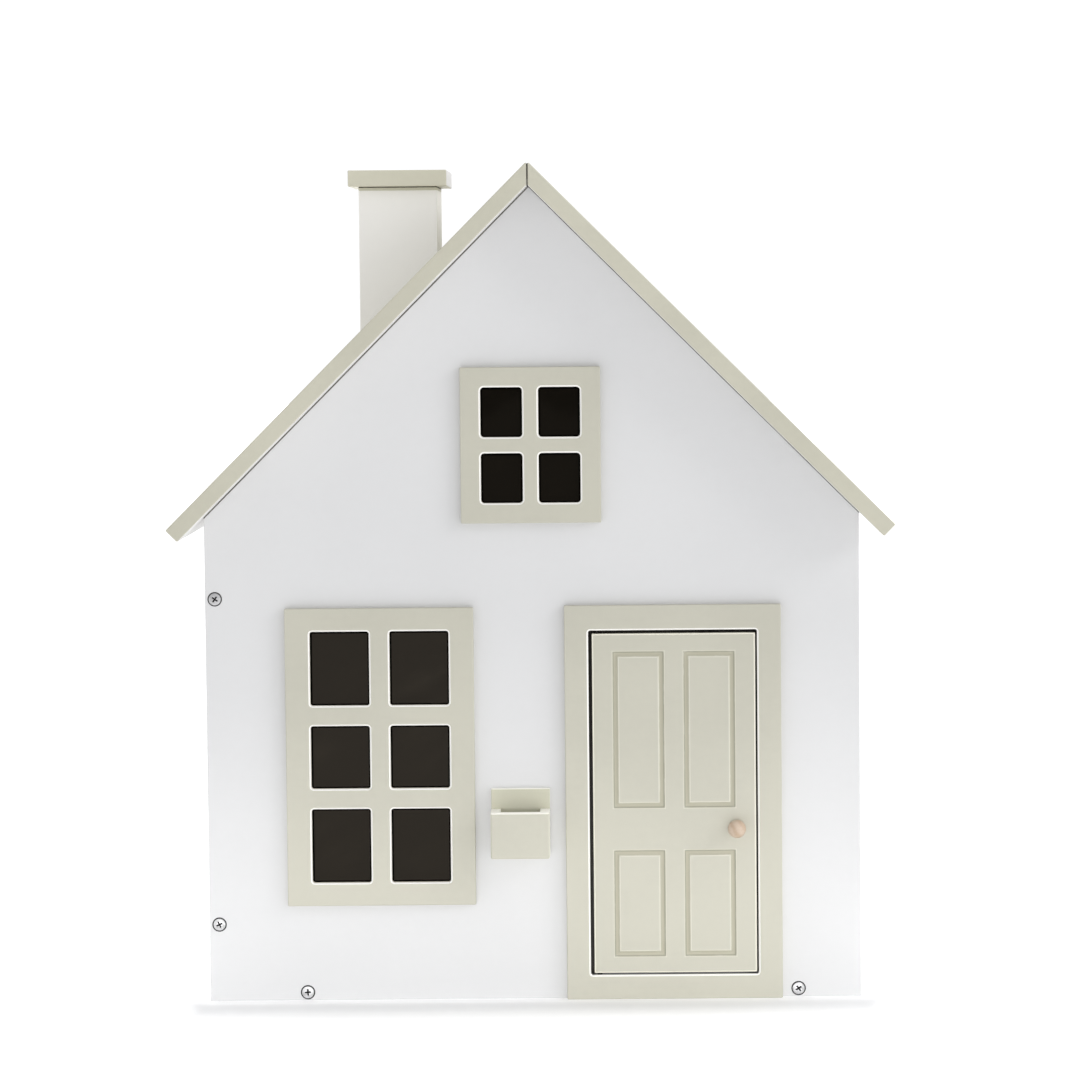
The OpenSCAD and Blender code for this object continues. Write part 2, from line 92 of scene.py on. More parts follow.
WHITE: Triple = (0.735, 0.735, 0.737)
# The chimney's white, lighter than the walls': painted light that makes up for the floor's bounce light,
# which the roof keeps off it.
CHIMNEY_LIT_WHITE: Triple = (0.965, 0.95, 0.92)
# Cream painted highlight on the door leaf's outer rounded edges.
LEAF_EDGE_HIGHLIGHT: Triple = (0.96, 0.93, 0.80)
# Near-white painted highlight on the window and door frames' rounded lips.
LIP_HIGHLIGHT: Triple = (0.98, 0.97, 0.93)
THIN_COAT: Triple = (0.86, 0.84, 0.78)
SAGE: Triple = (0.558, 0.544, 0.457)
ROOF_SAGE: Triple = (0.575, 0.558, 0.456)
# Near-black for the dark joint line at the ridge, and for painted shadow lines under the roof and the cap.
JOINT_LINE_AND_SHADE: Triple = (0.075, 0.068, 0.052)
# Near-black painted shade on the doorway's cut sides, so that the gap round the leaf reads dark.
GAP_SHADE: Triple = (0.010, 0.009, 0.008)
# Black painted shadow round the edge of each window light.
PANE_EDGE_SHADE: Triple = (0.0016, 0.0014, 0.0012)
# Dark grey for painted dirt and painted shade in the screws' recesses and round their heads.
GRIME_AND_SHADE: Triple = (0.035, 0.033, 0.031)


class Body(Enum):
    """The rigid bodies of the model."""

    HOUSE = "house"
    DOOR = "door"


class Slot(Enum):
    """The record's material slots, one of which is named for each new piece."""

    WHITE = "white_paint"
    SAGE = "sage_paint"
    PANE = "window_pane"
    SCREW = "screw_zinc"
    BEECH = "beech"


class Axis(Enum):
    """The direction that a board's section is carried along."""

    X = 0
    Y = 1
    Z = 2


# Shader maths


def operator(operation: str, swapped: bool = False) -> Callable[["Value", Operand], "Value"]:
    """Makes a method of Value that adds one Math node with two inputs.

    Args:
        operation: The node's operation.
        swapped: True if the other operand comes first.

    Returns:
        The method.
    """

    def method(value: "Value", other: Operand) -> "Value":
        """Returns the node's output."""
        return value.worked(operation, *((other, value) if swapped else (value, other)))

    return method


class Value:
    """One number socket of a node tree; arithmetic on it adds Math nodes."""

    __add__ = operator("ADD")
    __radd__ = operator("ADD", swapped=True)
    __sub__ = operator("SUBTRACT")
    __rsub__ = operator("SUBTRACT", swapped=True)
    __mul__ = operator("MULTIPLY")
    __rmul__ = operator("MULTIPLY", swapped=True)
    __pow__ = operator("POWER")
    most = operator("MAXIMUM")
    least = operator("MINIMUM")

    def __init__(self, graph: "Graph", socket: Socket) -> None:
        """Keeps the graph and the output socket."""
        self.graph = graph
        self.socket = socket

    def worked(self, operation: str, *operands: Operand) -> "Value":
        """Adds one Math node and returns its output."""
        return self.graph.value("ShaderNodeMath", {"operation": operation}, dict(enumerate(operands)))

    def __neg__(self) -> "Value":
        """Returns the value with its sign turned."""
        return self * -1.0

    def __abs__(self) -> "Value":
        """Returns the absolute value."""
        return self.worked("ABSOLUTE", self)

    def step(self, low: float, high: float) -> "Value":
        """Returns a smooth ramp from 0 at low to 1 at high."""
        ramp = {"Value": self, "From Min": low, "From Max": high}
        return self.graph.value("ShaderNodeMapRange", {"interpolation_type": "SMOOTHSTEP"}, ramp)

    def band(self, low: float, high: float, soft: float = 0.2 * MM) -> "Value":
        """Returns 1 between low and high and 0 outside, with soft edges."""
        return self.step(low - soft, low + soft) * (1.0 - self.step(high - soft, high + soft))


class Graph:
    """A node tree, and the ways to add nodes to it."""

    def __init__(self, tree: bpy.types.NodeTree) -> None:
        """Keeps a tree and empties it."""
        self.tree = tree
        tree.nodes.clear()

    def feed(self, socket: Socket, source: Any) -> None:
        """Links a source to a socket, or sets the socket's own value.

        Args:
            socket: The input.
            source: A Value, an output socket, a number or a tuple.
        """
        if isinstance(source, (Value, Socket)):
            self.tree.links.new(getattr(source, "socket", source), socket)
        elif isinstance(source, tuple) and socket.type == "RGBA" and len(source) == 3:
            socket.default_value = (*source, 1.0)
        else:
            socket.default_value = source

    def node(self, kind: str, settings: dict[str, Any], inputs: Inputs) -> bpy.types.Node:
        """Adds any node: its settings are set first, then its sockets.

        Args:
            kind: The node's type.
            settings: Its own settings.
            inputs: Values or links by socket name or number.

        Returns:
            The node.
        """
        made = self.tree.nodes.new(kind)
        for key, setting in settings.items():
            setattr(made, key, setting)
        for key, source in inputs.items():
            self.feed(made.inputs[key], source)
        return made

    def value(self, kind: str, settings: dict[str, Any], inputs: Inputs) -> Value:
        """Adds a node and returns its first output as a Value."""
        return Value(self, self.node(kind, settings, inputs).outputs[0])

    @functools.cached_property
    def coordinates(self) -> bpy.types.Node:
        """Returns the only Texture Coordinate node."""
        return self.node("ShaderNodeTexCoord", {}, {})

    def place(self) -> Socket:
        """Returns the Object coordinates."""
        return self.coordinates.outputs["Object"]

    def normal(self) -> Socket:
        """Returns the surface's normal in object space."""
        return self.coordinates.outputs["Normal"]

    def split(self, vector: Socket) -> tuple[Value, Value, Value]:
        """Returns the three numbers of a vector."""
        x, y, z = self.node("ShaderNodeSeparateXYZ", {}, {0: vector}).outputs
        return Value(self, x), Value(self, y), Value(self, z)

    def mapped(self, scale: Triple, turn: Triple = ZERO, centre: Triple = ZERO) -> Socket:
        """Returns Object coordinates centred on a point, turned and then stretched.

        Args:
            scale: The stretch along each axis.
            turn: The turn about each axis, in radians.
            centre: The point that becomes zero, in metres.

        Returns:
            The mapped coordinates.
        """
        where = self.place()
        for key, numbers in (("Location", tuple(-c for c in centre)), ("Rotation", turn), ("Scale", scale)):
            where = self.node("ShaderNodeMapping", {}, {"Vector": where, key: numbers}).outputs[0]
        return where

    def noise(self, where: Socket, scale: float, detail: float = 3.0, rough: float = 0.5) -> Value:
        """Returns soft noise from 0 to 1, with scale cells in a unit of the coordinates."""
        inputs = {"Vector": where, "Scale": scale, "Detail": detail, "Roughness": rough}
        return self.value("ShaderNodeTexNoise", {}, inputs)

    def mix(self, cover: Operand, first: Any, second: Any) -> Socket:
        """Returns the first colour where the cover is 0 and the second where it is 1."""
        return self.node("ShaderNodeMix", {"data_type": "RGBA"}, {0: cover, 6: first, 7: second}).outputs[2]


class Coat(Graph):
    """A material's graph with its Principled shader, and the base colour that is built up layer by layer."""

    def __init__(self, name: str) -> None:
        """Makes a material with an output and a Principled shader.

        Args:
            name: The material's name.
        """
        self.material = bpy.data.materials.new(name)
        self.material.use_nodes = True
        super().__init__(self.material.node_tree)
        self.shader = self.node("ShaderNodeBsdfPrincipled", {}, {})
        self.node("ShaderNodeOutputMaterial", {}, {"Surface": self.shader.outputs["BSDF"]})
        self.base: Any = None

    def over(self, cover: Operand, colour: Triple) -> None:
        """Lays a colour over the base colour where the cover is 1."""
        self.base = self.mix(cover, self.base, colour)

    def bump(self, height: Value, depth: float, strength: float = 1.0) -> None:
        """Bends the shader's normal by a height, of which 1 stands for the depth in metres."""
        made = self.node("ShaderNodeBump", {}, {"Height": height, "Distance": depth, "Strength": strength})
        self.feed(self.shader.inputs["Normal"], made.outputs[0])

    def dressed(self, **sockets: Any) -> Material:
        """Feeds the base colour and other sockets of the shader.

        Args:
            sockets: Values or links by socket name, with underscores for spaces.

        Returns:
            The material.
        """
        for key, source in {"base_color": self.base, **sockets}.items():
            self.feed(self.shader.inputs[key.replace("_", " ").title().replace("Ior", "IOR")], source)
        return self.material


def shade(colour: Triple, factor: float, tint: Triple = (1.0, 1.0, 1.0)) -> Triple:
    """Returns a linear colour multiplied by a number and a tint."""
    return (colour[0] * factor * tint[0], colour[1] * factor * tint[1], colour[2] * factor * tint[2])


# Finishes


@dataclass(frozen=True)
class Zone:
    """An upright rectangle on the front of the house."""

    left: float
    right: float
    bottom: float
    top: float

    @staticmethod
    def inset(low: Vector, high: Vector, rim: float) -> "Zone":
        """Returns the zone that lies a rim's width inside a box."""
        return Zone(low.x + rim, high.x - rim, low.z + rim, high.z - rim)

    def away(self, x: Value, z: Value) -> Value:
        """Returns the distance from the rectangle's edge, negative inside it, with square corners."""
        across = abs(x - (self.left + self.right) / 2.0) - (self.right - self.left) / 2.0
        return across.most(abs(z - (self.bottom + self.top) / 2.0) - (self.top - self.bottom) / 2.0)

    def inside(self, x: Value, z: Value) -> Value:
        """Returns 1 inside the rectangle and 0 outside."""
        return 1.0 - self.away(x, z).step(-0.1 * MM, 0.1 * MM)


@dataclass(frozen=True)
class Paint:
    """Satin paint sprayed on board: soft mottling, orange peel, thin edges, painted highlights on cut sides
    and painted shade.
    """

    name: str
    colour: Triple
    rough: float = 0.46
    mottle: float = 0.05
    peel: float = 0.022 * MM
    side: Optional[Triple] = None
    side_from: float = 0.06
    side_blend: float = 0.22
    zone: Optional[Zone] = None
    outer: bool = False
    reveal: Optional[Triple] = None
    # Painted shade on the deep part of the cut sides: two depths and a colour.
    deep: Optional[Band] = None
    top: Optional[Triple] = None
    ends: Optional[Triple] = None
    under: Optional[Triple] = None
    # Painted shade in the coves' bottoms: two depths and a colour.
    cove_shade: Optional[Band] = None
    coves: tuple[Zone, ...] = ()
    # Painted highlight and shadow lines along the coves.
    cove_light_and_shadow_lines: tuple[Band, ...] = ()
    bands: tuple[Band, ...] = ()
    # The ridge's height and the width of the painted shadow line under the roof slopes.
    slope_shadow_line: Optional[Range] = None
    ridge_joint: float = 0.0
    turn: float = 0.0

    def make(self) -> Material:
        """Builds the material.

        The colour is the paint's own, a few per cent lighter and darker in two sizes of cloud and in faint
        lines. Painted light and shade can be laid on: painted shade in the bottoms of the coves, painted
        highlight and shadow lines along the coves, a painted highlight on the cut sides and rounded edges
        inside or outside a zone, painted shade on the deep part of those cut sides, and a painted highlight
        on the tops and on the ends. The straight cut sides (the reveals), the underside and bands between two
        heights, among them a painted shadow line, can have colours of their own. A painted shadow line
        follows both slopes on the wall under the roof, wider on the left, and a dark joint line stands at the
        ridge.
        Rounded edges, where the normal points along none of the axes, show a thinner and paler coat in
        patches.

        Returns:
            The material.
        """
        g = Coat(self.name)
        where, normal = g.place(), g.normal()
        clouds = g.noise(where, 9.0, 2.0)
        specks = g.noise(where, 160.0, 3.0, 0.6)
        rolled = g.noise(g.mapped((60.0, 60.0, 340.0)), 1.0, 3.0, 0.55)
        tone = ((clouds - 0.5) * 1.2 + (specks - 0.5) * 0.35 + (rolled - 0.5) * 0.16) * 2.0 + 0.5
        dark, light = shade(self.colour, 1.0 - self.mottle), shade(self.colour, 1.0 + self.mottle)
        g.base = g.mix(tone.step(0.0, 1.0), dark, light)
        if self.turn:
            inputs = {"Vector": normal, "Angle": self.turn}
            normal = g.node("ShaderNodeVectorRotate", {"rotation_type": "Y_AXIS"}, inputs).outputs[0]
        nx, ny, nz = g.split(normal)
        px, py, pz = g.split(where)
        cut = 1.0 - abs(ny)
        here: Operand = 1.0
        if self.zone is not None:
            here = self.zone.inside(px, pz)
            here = 1.0 - here if self.outer else here
        # Painted shade in the bottoms of the coves.
        if self.cove_shade is not None:
            g.over(py.step(*self.cove_shade[:2]), self.cove_shade[2])
        # Painted highlight and shadow lines along the coves, on front-facing faces.
        for near, far, tint in self.cove_light_and_shadow_lines:
            away = functools.reduce(Value.least, [cove.away(px, pz) for cove in self.coves])
            g.over(away.band(near, far) * (-ny).step(0.1, 0.3) * (0.85 + specks * 0.15), tint)
        # Painted highlight on cut sides and rounded edges, inside or outside a zone.
        if self.side is not None:
            g.over(cut.step(self.side_from, self.side_from + self.side_blend) * here, self.side)
        if self.reveal is not None:
            g.over(cut.step(0.75, 0.95) * here, self.reveal)
        # Painted shade on the deep part of the cut sides.
        if self.deep is not None:
            g.over(py.step(*self.deep[:2]) * cut.step(0.5, 0.8) * here, self.deep[2])
        # Painted highlight on the tops.
        if self.top is not None:
            g.over(nz.step(0.08, 0.40), self.top)
        # Painted highlight on the ends.
        if self.ends is not None:
            g.over(abs(nx).step(0.55, 0.85), self.ends)
        if self.under is not None:
            g.over((-g.split(g.normal())[2]).step(0.35, 0.60), self.under)
        # Bands between two heights, such as the chimney's sage band and the painted shadow line under its
        # cap.
        for low, high, tint in self.bands:
            g.over((pz + (specks - 0.5) * 0.5 * MM).band(low, high), tint)
        # Painted shadow line on the wall under both roof slopes, wider on the left.
        if self.slope_shadow_line is not None:
            ridge, wide = self.slope_shadow_line
            left = 1.0 - px.step(-2.0 * MM, 2.0 * MM)
            reach = wide * (left * 0.45 + 0.35 + g.noise(where, 14.0, 1.0) * 0.5)
            under_roof = (ridge - abs(px) - pz - reach).step(-0.3 * MM, 0.3 * MM)
            g.over((1.0 - under_roof) * 0.92, JOINT_LINE_AND_SHADE)
        if self.ridge_joint:
            g.over((1.0 - abs(px).step(self.ridge_joint * 0.6, self.ridge_joint)) * 0.95, JOINT_LINE_AND_SHADE)
        corner = (1.0 - abs(nx).most(abs(ny)).most(abs(nz))).step(0.10, 0.26)
        worn = corner * g.noise(where, 75.0, 3.0, 0.6).step(0.50, 0.72)
        g.over(worn * 0.30, THIN_COAT)
        fine = g.noise(where, 620.0, 2.0, 0.5)
        g.bump(fine * 0.6 + specks * 0.4 + rolled * 0.25, self.peel)
        rough = self.rough + (clouds - 0.5) * 0.10 + (fine - 0.5) * 0.12 + worn * 0.12
        return g.dressed(roughness=rough, coat_weight=0.06, coat_roughness=0.28, ior=1.46)


@dataclass(frozen=True)
class BareWood:
    """Planed or turned wood with growth rings, pores and a dry surface."""

    name: str
    light: Triple
    dark: Triple
    along: Axis = Axis.Z
    centre: Triple = ZERO
    rings: float = 260.0
    rough: float = 0.55
    face: Optional[Triple] = None

    def make(self) -> Material:
        """Builds the material.

        Rings are waves of the distance from a far pith line, bent by stretched noise; pores are thin dashes
        along the grain; the colour runs from the early wood to the late wood with the rings. The front face
        can be darkened to near-black: painted shade.

        Returns:
            The material.
        """
        g = Coat(self.name)
        stretch = np.where(np.arange(3) == self.along.value, 0.07, 1.0)
        grain = g.mapped(tuple(stretch.tolist()), centre=self.centre)
        warp = g.noise(grain, 45.0, 3.0, 0.55)
        x, y, z = g.split(grain)
        across = (x * 0.8 + y * 0.45 + z * 0.6) * self.rings + warp * 3.2
        rings = (across.worked("SINE", across * 2.0) * 0.5 + 0.5) ** 1.6
        fibre = g.noise(grain, 900.0, 3.0, 0.6)
        pores = g.noise(grain, 2100.0, 1.0, 0.4).step(0.60, 0.72)
        tone = rings * 0.42 + fibre * 0.45 + warp * 0.25
        g.base = g.mix(tone.step(0.12, 0.92), self.light, self.dark)
        g.over(pores * 0.22, shade(self.dark, 0.72))
        # Painted shade on the front face.
        if self.face is not None:
            g.over((-g.split(g.normal())[1]).step(0.3, 0.6) * (0.97 + pores * 0.03), self.face)
        g.bump(fibre * 0.6 + rings * 0.3 - pores * 0.5, 0.06 * MM)
        return g.dressed(roughness=self.rough + (fibre - 0.5) * 0.16 + pores * 0.08, ior=1.5)


@dataclass(frozen=True)
class SmokedSheet:
    """Glossy smoked sheet with faint wipe marks, dust and a black painted shadow round each light's edge."""

    name: str
    colour: Triple
    index: float
    rough: float = 0.035
    tint: Triple = (1.0, 0.86, 0.70)
    # Width of the painted shadow round each light's edge.
    edge_shade: float = 1.3 * MM

    def make(self, inset: Callable[[Value, Value], Value]) -> Material:
        """Builds the material.

        The base is nearly black. Wide soft smears raise the roughness a little, dust specks lift the colour,
        and a very long and shallow wave bends the reflections. The painted shadow round each light's edge is
        dull black and mirrors nothing.

        Args:
            inset: Tells how far a point lies inside the nearest light's edge, from its x and z.

        Returns:
            The material.
        """
        g = Coat(self.name)
        where = g.place()
        x, _, z = g.split(where)
        smear = g.noise(g.mapped((18.0, 18.0, 46.0), turn=(0.0, 0.45, 0.0)), 1.0, 4.0, 0.6).step(0.42, 0.78)
        dust = g.noise(where, 1500.0, 1.0, 0.5).step(0.70, 0.80)
        haze = g.noise(where, 26.0, 3.0, 0.5)
        g.base = g.mix(smear * 0.35 + dust * 0.10, self.colour, shade(self.colour, 2.1, (1.05, 1.0, 0.92)))
        # Painted shadow round the edge of each light, dull black so that it mirrors nothing.
        edge = inset(x, z) + (haze - 0.5) * 0.3 * MM
        edge_shade = 1.0 - edge.step(self.edge_shade - 0.25 * MM, self.edge_shade + 0.25 * MM)
        g.over(edge_shade, PANE_EDGE_SHADE)
        g.bump(haze + smear * 0.2, 0.02 * MM, 0.6)
        rough = self.rough + smear * 0.07 + dust * 0.10 + (haze - 0.5) * 0.02 + edge_shade * 0.5
        return g.dressed(roughness=rough, metallic=edge_shade, ior=self.index, specular_tint=self.tint)


@dataclass(frozen=True)
class PlatedSteel:
    """Zinc plate or bright steel with fine turning marks and handling dulls."""

    name: str
    colour: Triple
    rough: float
    dull: float = 0.25
    grime_and_shade: Optional[Range] = None

    def make(self) -> Material:
        """Builds the material.

        Clouds of dull plate change the colour and the roughness, and fine random scratches bend the normal.
        Dirt and shade can darken everything behind a depth along Y, which is the bottom of a recess and the
        foot of a head.

        Returns:
            The material.
        """
        g = Coat(self.name)
        where = g.place()
        cloud = g.noise(where, 420.0, 3.0, 0.6)
        scratch = g.noise(g.mapped((5200.0, 900.0, 1400.0), turn=(0.3, 0.8, 0.2)), 1.0, 2.0, 0.6)
        grain = g.noise(where, 3800.0, 2.0, 0.6)
        dulled = shade(self.colour, 1.0 - self.dull, (1.0, 0.99, 0.96))
        g.base = g.mix(cloud.step(0.35, 0.75), self.colour, dulled)
        # Painted dirt and painted shade behind a depth: the bottom of a recess and the foot of a head.
        dirt_and_shade: Operand = 0.0
        if self.grime_and_shade is not None:
            dirt_and_shade = g.split(where)[1].step(*self.grime_and_shade) * (0.9 + cloud * 0.1)
            g.over(dirt_and_shade, GRIME_AND_SHADE)
        g.bump(scratch * 0.6 + grain * 0.4, 0.012 * MM)
        rough = self.rough + (cloud - 0.5) * 0.22 + (scratch - 0.5) * 0.14 + dirt_and_shade * 0.3
        return g.dressed(metallic=1.0, roughness=rough)


@dataclass(frozen=True)
class PaleGround:
    """The plain pale floor under the house, with a glow of its own that keeps it white but for a painted
    shadow.

    All lengths are along the floor: side is the walls' distance from the middle and foot the front wall's
    place along Y.
    """

    name: str
    colour: Triple
    glow: float
    beside: float = 0.45
    side: float = 235.0 * MM
    foot: float = -120.0 * MM
    rise: Range = (27.0 * MM, 90.0 * MM)
    behind: Range = (-150.0 * MM, -95.0 * MM)
    patch_start: float = 270.0 * MM
    patch_end: Range = (360.0 * MM, 420.0 * MM)
    patch_front: Range = (-215.0 * MM, -165.0 * MM)

    def make(self) -> Material:
        """Builds the material: matt white with a faint tooth, and the glow.

        The glow is nothing at the wall's foot and rises to its full strength over a short distance, which
        past the house's sides counts three times: a painted shadow along the foot, over the real one. All the
        ground behind the wall's foot, and a patch at each side of it, have a stronger glow on top: painted
        light that takes away the house's shadows there.

        Returns:
            The material.
        """
        g = Coat(self.name)
        x, y, _ = g.split(g.place())
        # The glow leaves a painted shadow along the wall's foot; behind the wall and at its sides it is
        # stronger, painted light that takes away the shadows there.
        aside, ahead = (abs(x) - self.side).most(0.0) * 3.0, (self.foot - y).most(0.0)
        reach = ((aside * aside + ahead * ahead) ** 0.5).step(*self.rise)
        patch = abs(x).step(self.side, self.patch_start) * (1.0 - abs(x).step(*self.patch_end))
        strong = y.step(*self.behind).most(patch * y.step(*self.patch_front))
        glow = g.mix(reach * self.glow + strong * self.beside, ZERO, (1.0, 1.0, 1.0))
        tooth = g.noise(g.place(), 60.0, 4.0, 0.5)
        g.base = g.mix(tooth, shade(self.colour, 0.985), self.colour)
        g.bump(tooth, 0.2 * MM)
        return g.dressed(roughness=0.85, emission_color=glow, emission_strength=1.0)


# Shapes


@dataclass
class Shape:
    """A mesh in arrays: points in metres, and faces as lists of point numbers."""

    points: Array
    faces: list[Sequence[int]]

    @staticmethod
    def sheet(points: Array, closed: bool = True) -> "Shape":
        """Makes quads over a grid of points.

        Args:
            points: The points, rows by columns by three.
            closed: True if the last column meets the first.

        Returns:
            The shape.
        """
        number = np.arange(points.shape[0] * points.shape[1]).reshape(points.shape[:2])
        if closed:
            number = np.concatenate([number, number[:, :1]], axis=1)
        quads = np.stack([number[:-1, :-1], number[:-1, 1:], number[1:, 1:], number[1:, :-1]], axis=-1)
        return Shape(points.reshape(-1, 3), quads.reshape(-1, 4).tolist())

    @staticmethod
    def joined(shapes: Sequence["Shape"]) -> "Shape":
        """Makes one shape of several.

        Args:
            shapes: The shapes.

        Returns:
            The shape.
        """
        starts = np.cumsum([0] + [len(shape.points) for shape in shapes]).tolist()
        faces = [[start + i for i in face] for start, shape in zip(starts, shapes) for face in shape.faces]
        return Shape(np.concatenate([shape.points for shape in shapes]), faces)

    def moved(self, matrix: Matrix) -> "Shape":
        """Returns the shape carried by a matrix."""
        return Shape(self.points @ np.array(matrix.to_3x3()).T + np.array(matrix.translation), self.faces)

    def mesh(self, name: str) -> bpy.types.Object:
        """Puts the arrays into an object, merges doubles and turns every face outwards.

        Args:
            name: The object's name.

        Returns:
            The object, linked to the scene.
        """
        data = bpy.data.meshes.new(name)
        data.from_pydata(self.points.tolist(), [], self.faces)
        work = bmesh.new()
        work.from_mesh(data)
        bmesh.ops.remove_doubles(work, verts=work.verts, dist=0.001 * MM)
        bmesh.ops.dissolve_degenerate(work, dist=0.0001 * MM, edges=work.edges)
        bmesh.ops.recalc_face_normals(work, faces=work.faces)
        work.to_mesh(data)
        work.free()
        data.update()
        made = bpy.data.objects.new(name, data)
        bpy.context.scene.collection.objects.link(made)
        return made


def normals(corners: Array) -> tuple[Array, Array]:
    """Works out the outward normals of a closed line that runs against the clock.

    Args:
        corners: The line's points.

    Returns:
        The normal of the side after each point, and of the side before it.
    """
    sides = np.roll(corners, -1, axis=0) - corners
    sides = sides / np.linalg.norm(sides, axis=1, keepdims=True)
    after = np.stack([sides[:, 1], -sides[:, 0]], axis=1)
    return after, np.roll(after, 1, axis=0)


@dataclass(frozen=True)
class Loop:
    """One closed line of a board, against the clock: its outline, or the edge of an opening."""

    points: Array
    ease: float
    hole: bool = True

    @staticmethod
    def rectangle(
        low: Array, high: Array, corner: float, ease: float, hole: bool = True, steps: int = 6
    ) -> "Loop":
        """Makes a rectangle with round corners.

        Args:
            low: Its lowest corner in the board's plane.
            high: Its highest corner.
            corner: The corners' radius.
            ease: The radius of the edges.
            hole: True for an opening.
            steps: The number of faces round a corner.

        Returns:
            The loop.
        """
        angle = np.concatenate([np.linspace(0.0, QUARTER, steps + 1) + i * QUARTER for i in range(4)])
        right, left = high[0] - corner, low[0] + corner
        top, bottom = high[1] - corner, low[1] + corner
        u = np.repeat([right, left, left, right], steps + 1) + corner * np.cos(angle)
        v = np.repeat([top, top, bottom, bottom], steps + 1) + corner * np.sin(angle)
        return Loop(np.stack([u, v], axis=1), ease, hole)

    @staticmethod
    def circle(u: float, v: float, radius: float, ease: float, steps: int = 32) -> "Loop":
        """Makes a round opening."""
        angle = np.linspace(0.0, math.tau, steps, endpoint=False)
        return Loop(np.stack([u + radius * np.cos(angle), v + radius * np.sin(angle)], axis=1), ease)

    def ring(self, inwards: float) -> Array:
        """Moves the loop into the material.

        Each point moves along the sum of its two sides' normals, divided by one plus their product, so that
        both sides move by the same distance.

        Args:
            inwards: The distance.

        Returns:
            The moved points.
        """
        after, before = normals(self.points)
        along = (after + before) / (1.0 + np.sum(after * before, axis=1, keepdims=True))
        return self.points + along * (inwards if self.hole else -inwards)


def within(points: Array, line: Array) -> Array:
    """Tells which points lie within a closed line, by counting the sides to the right of each.

    Args:
        points: The points, one to a row.
        line: The line's points.

    Returns:
        True or False for each point.
    """
    u, v = points[:, :1], points[:, 1:]
    u0, v0 = line.T[:, None, :]
    u1, v1 = np.roll(line, -1, axis=0).T[:, None, :]
    level = np.where(v1 == v0, 1.0, v1 - v0)
    crossed = ((v0 > v) != (v1 > v)) & (u < (u1 - u0) * (v - v0) / level + u0)
    return np.sum(crossed, axis=1) % 2 == 1


def eased(ease: float, steps: int, start: float, end: float) -> tuple[Array, Array]:
    """Works out the rings of a piece whose two ends are eased by quarter circles.

    The distance to the sides is r (1 - sin a) at the depth r (1 - cos a) from an end, for a from 0 to 90
    degrees, and the other end mirrors that.

    Args:
        ease: The radius r.
        steps: The number of faces across an edge.
        start: The place of the first end.
        end: The place of the other end.

    Returns:
        The distance to the sides and the place, ring by ring.
    """
    bend = np.linspace(0.0, QUARTER, steps + 1)
    inwards, rise = ease * (1.0 - np.sin(bend)), ease * (1.0 - np.cos(bend))
    return np.concatenate([inwards, inwards[::-1]]), np.concatenate([start + rise, (end - rise)[::-1]])


def raised(rings: Array, heights: Array, axis: Axis) -> Array:
    """Returns flat rings as points in space, each at its height along the axis."""
    return np.insert(rings, axis.value, heights[:, None] * np.ones(rings.shape[1]), axis=2)


def board(loops: Sequence[Loop], near: float, far: float, axis: Axis, steps: int = 4) -> Shape:
    """Makes a flat board with an outline and openings, every edge eased.

    Round each loop runs a strip of rings. The faces are triangles between the loops' innermost rings.

    Args:
        loops: The outline first, then the openings.
        near: The first face along the axis.
        far: The other face.
        axis: The axis across the board.
        steps: The number of faces across an edge.

    Returns:
        The closed shape.
    """
    parts = []
    for loop in loops:
        inwards, depths = eased(loop.ease, steps, near, far)
        parts.append(Shape.sheet(raised(np.stack([loop.ring(value) for value in inwards]), depths, axis)))
    rims = [loop.ring(loop.ease) for loop in loops]
    starts = np.cumsum([0] + [len(rim) for rim in rims])
    sides = []
    for rim, start in zip(rims, starts):
        number = np.arange(len(rim))
        sides.extend((np.stack([number, np.roll(number, -1)], axis=1) + start).tolist())
    corners = [Vector(point) for point in (np.concatenate(rims) / MM).tolist()]
    found = delaunay_2d_cdt(corners, sides, [], 0, 1e-5)
    points, triangles = np.array([point[:] for point in found[0]]) * MM, np.array(found[2])
    middles = points[triangles].mean(axis=1)
    kept = within(middles, rims[0])
    for rim in rims[1:]:
        kept &= ~within(middles, rim)
    for level in (near, far):
        parts.append(Shape(np.insert(points, axis.value, level, axis=1), triangles[kept].tolist()))
    return Shape.joined(parts)


def eased_prism(section: Array, ease: float, start: float, end: float, axis: Axis, steps: int = 3) -> Shape:
    """Carries a convex section along an axis with all edges eased to one radius.

    Each corner of the section, moved inwards by the radius, is the centre of a fan of directions from one
    side's normal to the next. A ring is centre plus rho times direction, where rho is the radius less the
    distance to the sides.

    Args:
        section: The corners in the two axes across, in order.
        ease: The radius of the edges.
        start: The first end along the axis.
        end: The far end.
        axis: The axis.
        steps: The number of faces across an edge.

    Returns:
        The closed shape.
    """
    area = np.sum(section[:, 0] * np.roll(section[:, 1], -1) - np.roll(section[:, 0], -1) * section[:, 1])
    corners = section if area > 0 else section[::-1]
    after, before = normals(corners)
    product = np.sum(before * after, axis=1)
    centres = corners - (before + after) * (ease / (1.0 + product[:, None]))
    share = np.linspace(0.0, 1.0, steps + 1)[None, :, None]
    angle = np.arccos(np.clip(product, -1.0, 1.0))[:, None, None]
    fan = np.sin((1.0 - share) * angle) * before[:, None] + np.sin(share * angle) * after[:, None]
    inwards, heights = eased(ease, steps, start, end)
    rho = (ease - inwards)[:, None, None, None]
    rings = (centres[None, :, None] + rho * (fan / np.sin(angle))[None]).reshape(len(heights), -1, 2)
    shape = Shape.sheet(raised(rings, heights, axis))
    cap = np.arange(0, rings.shape[1], steps + 1)
    shape.faces.append(cap[::-1].tolist())
    shape.faces.append((cap + (len(heights) - 1) * rings.shape[1]).tolist())
    return shape


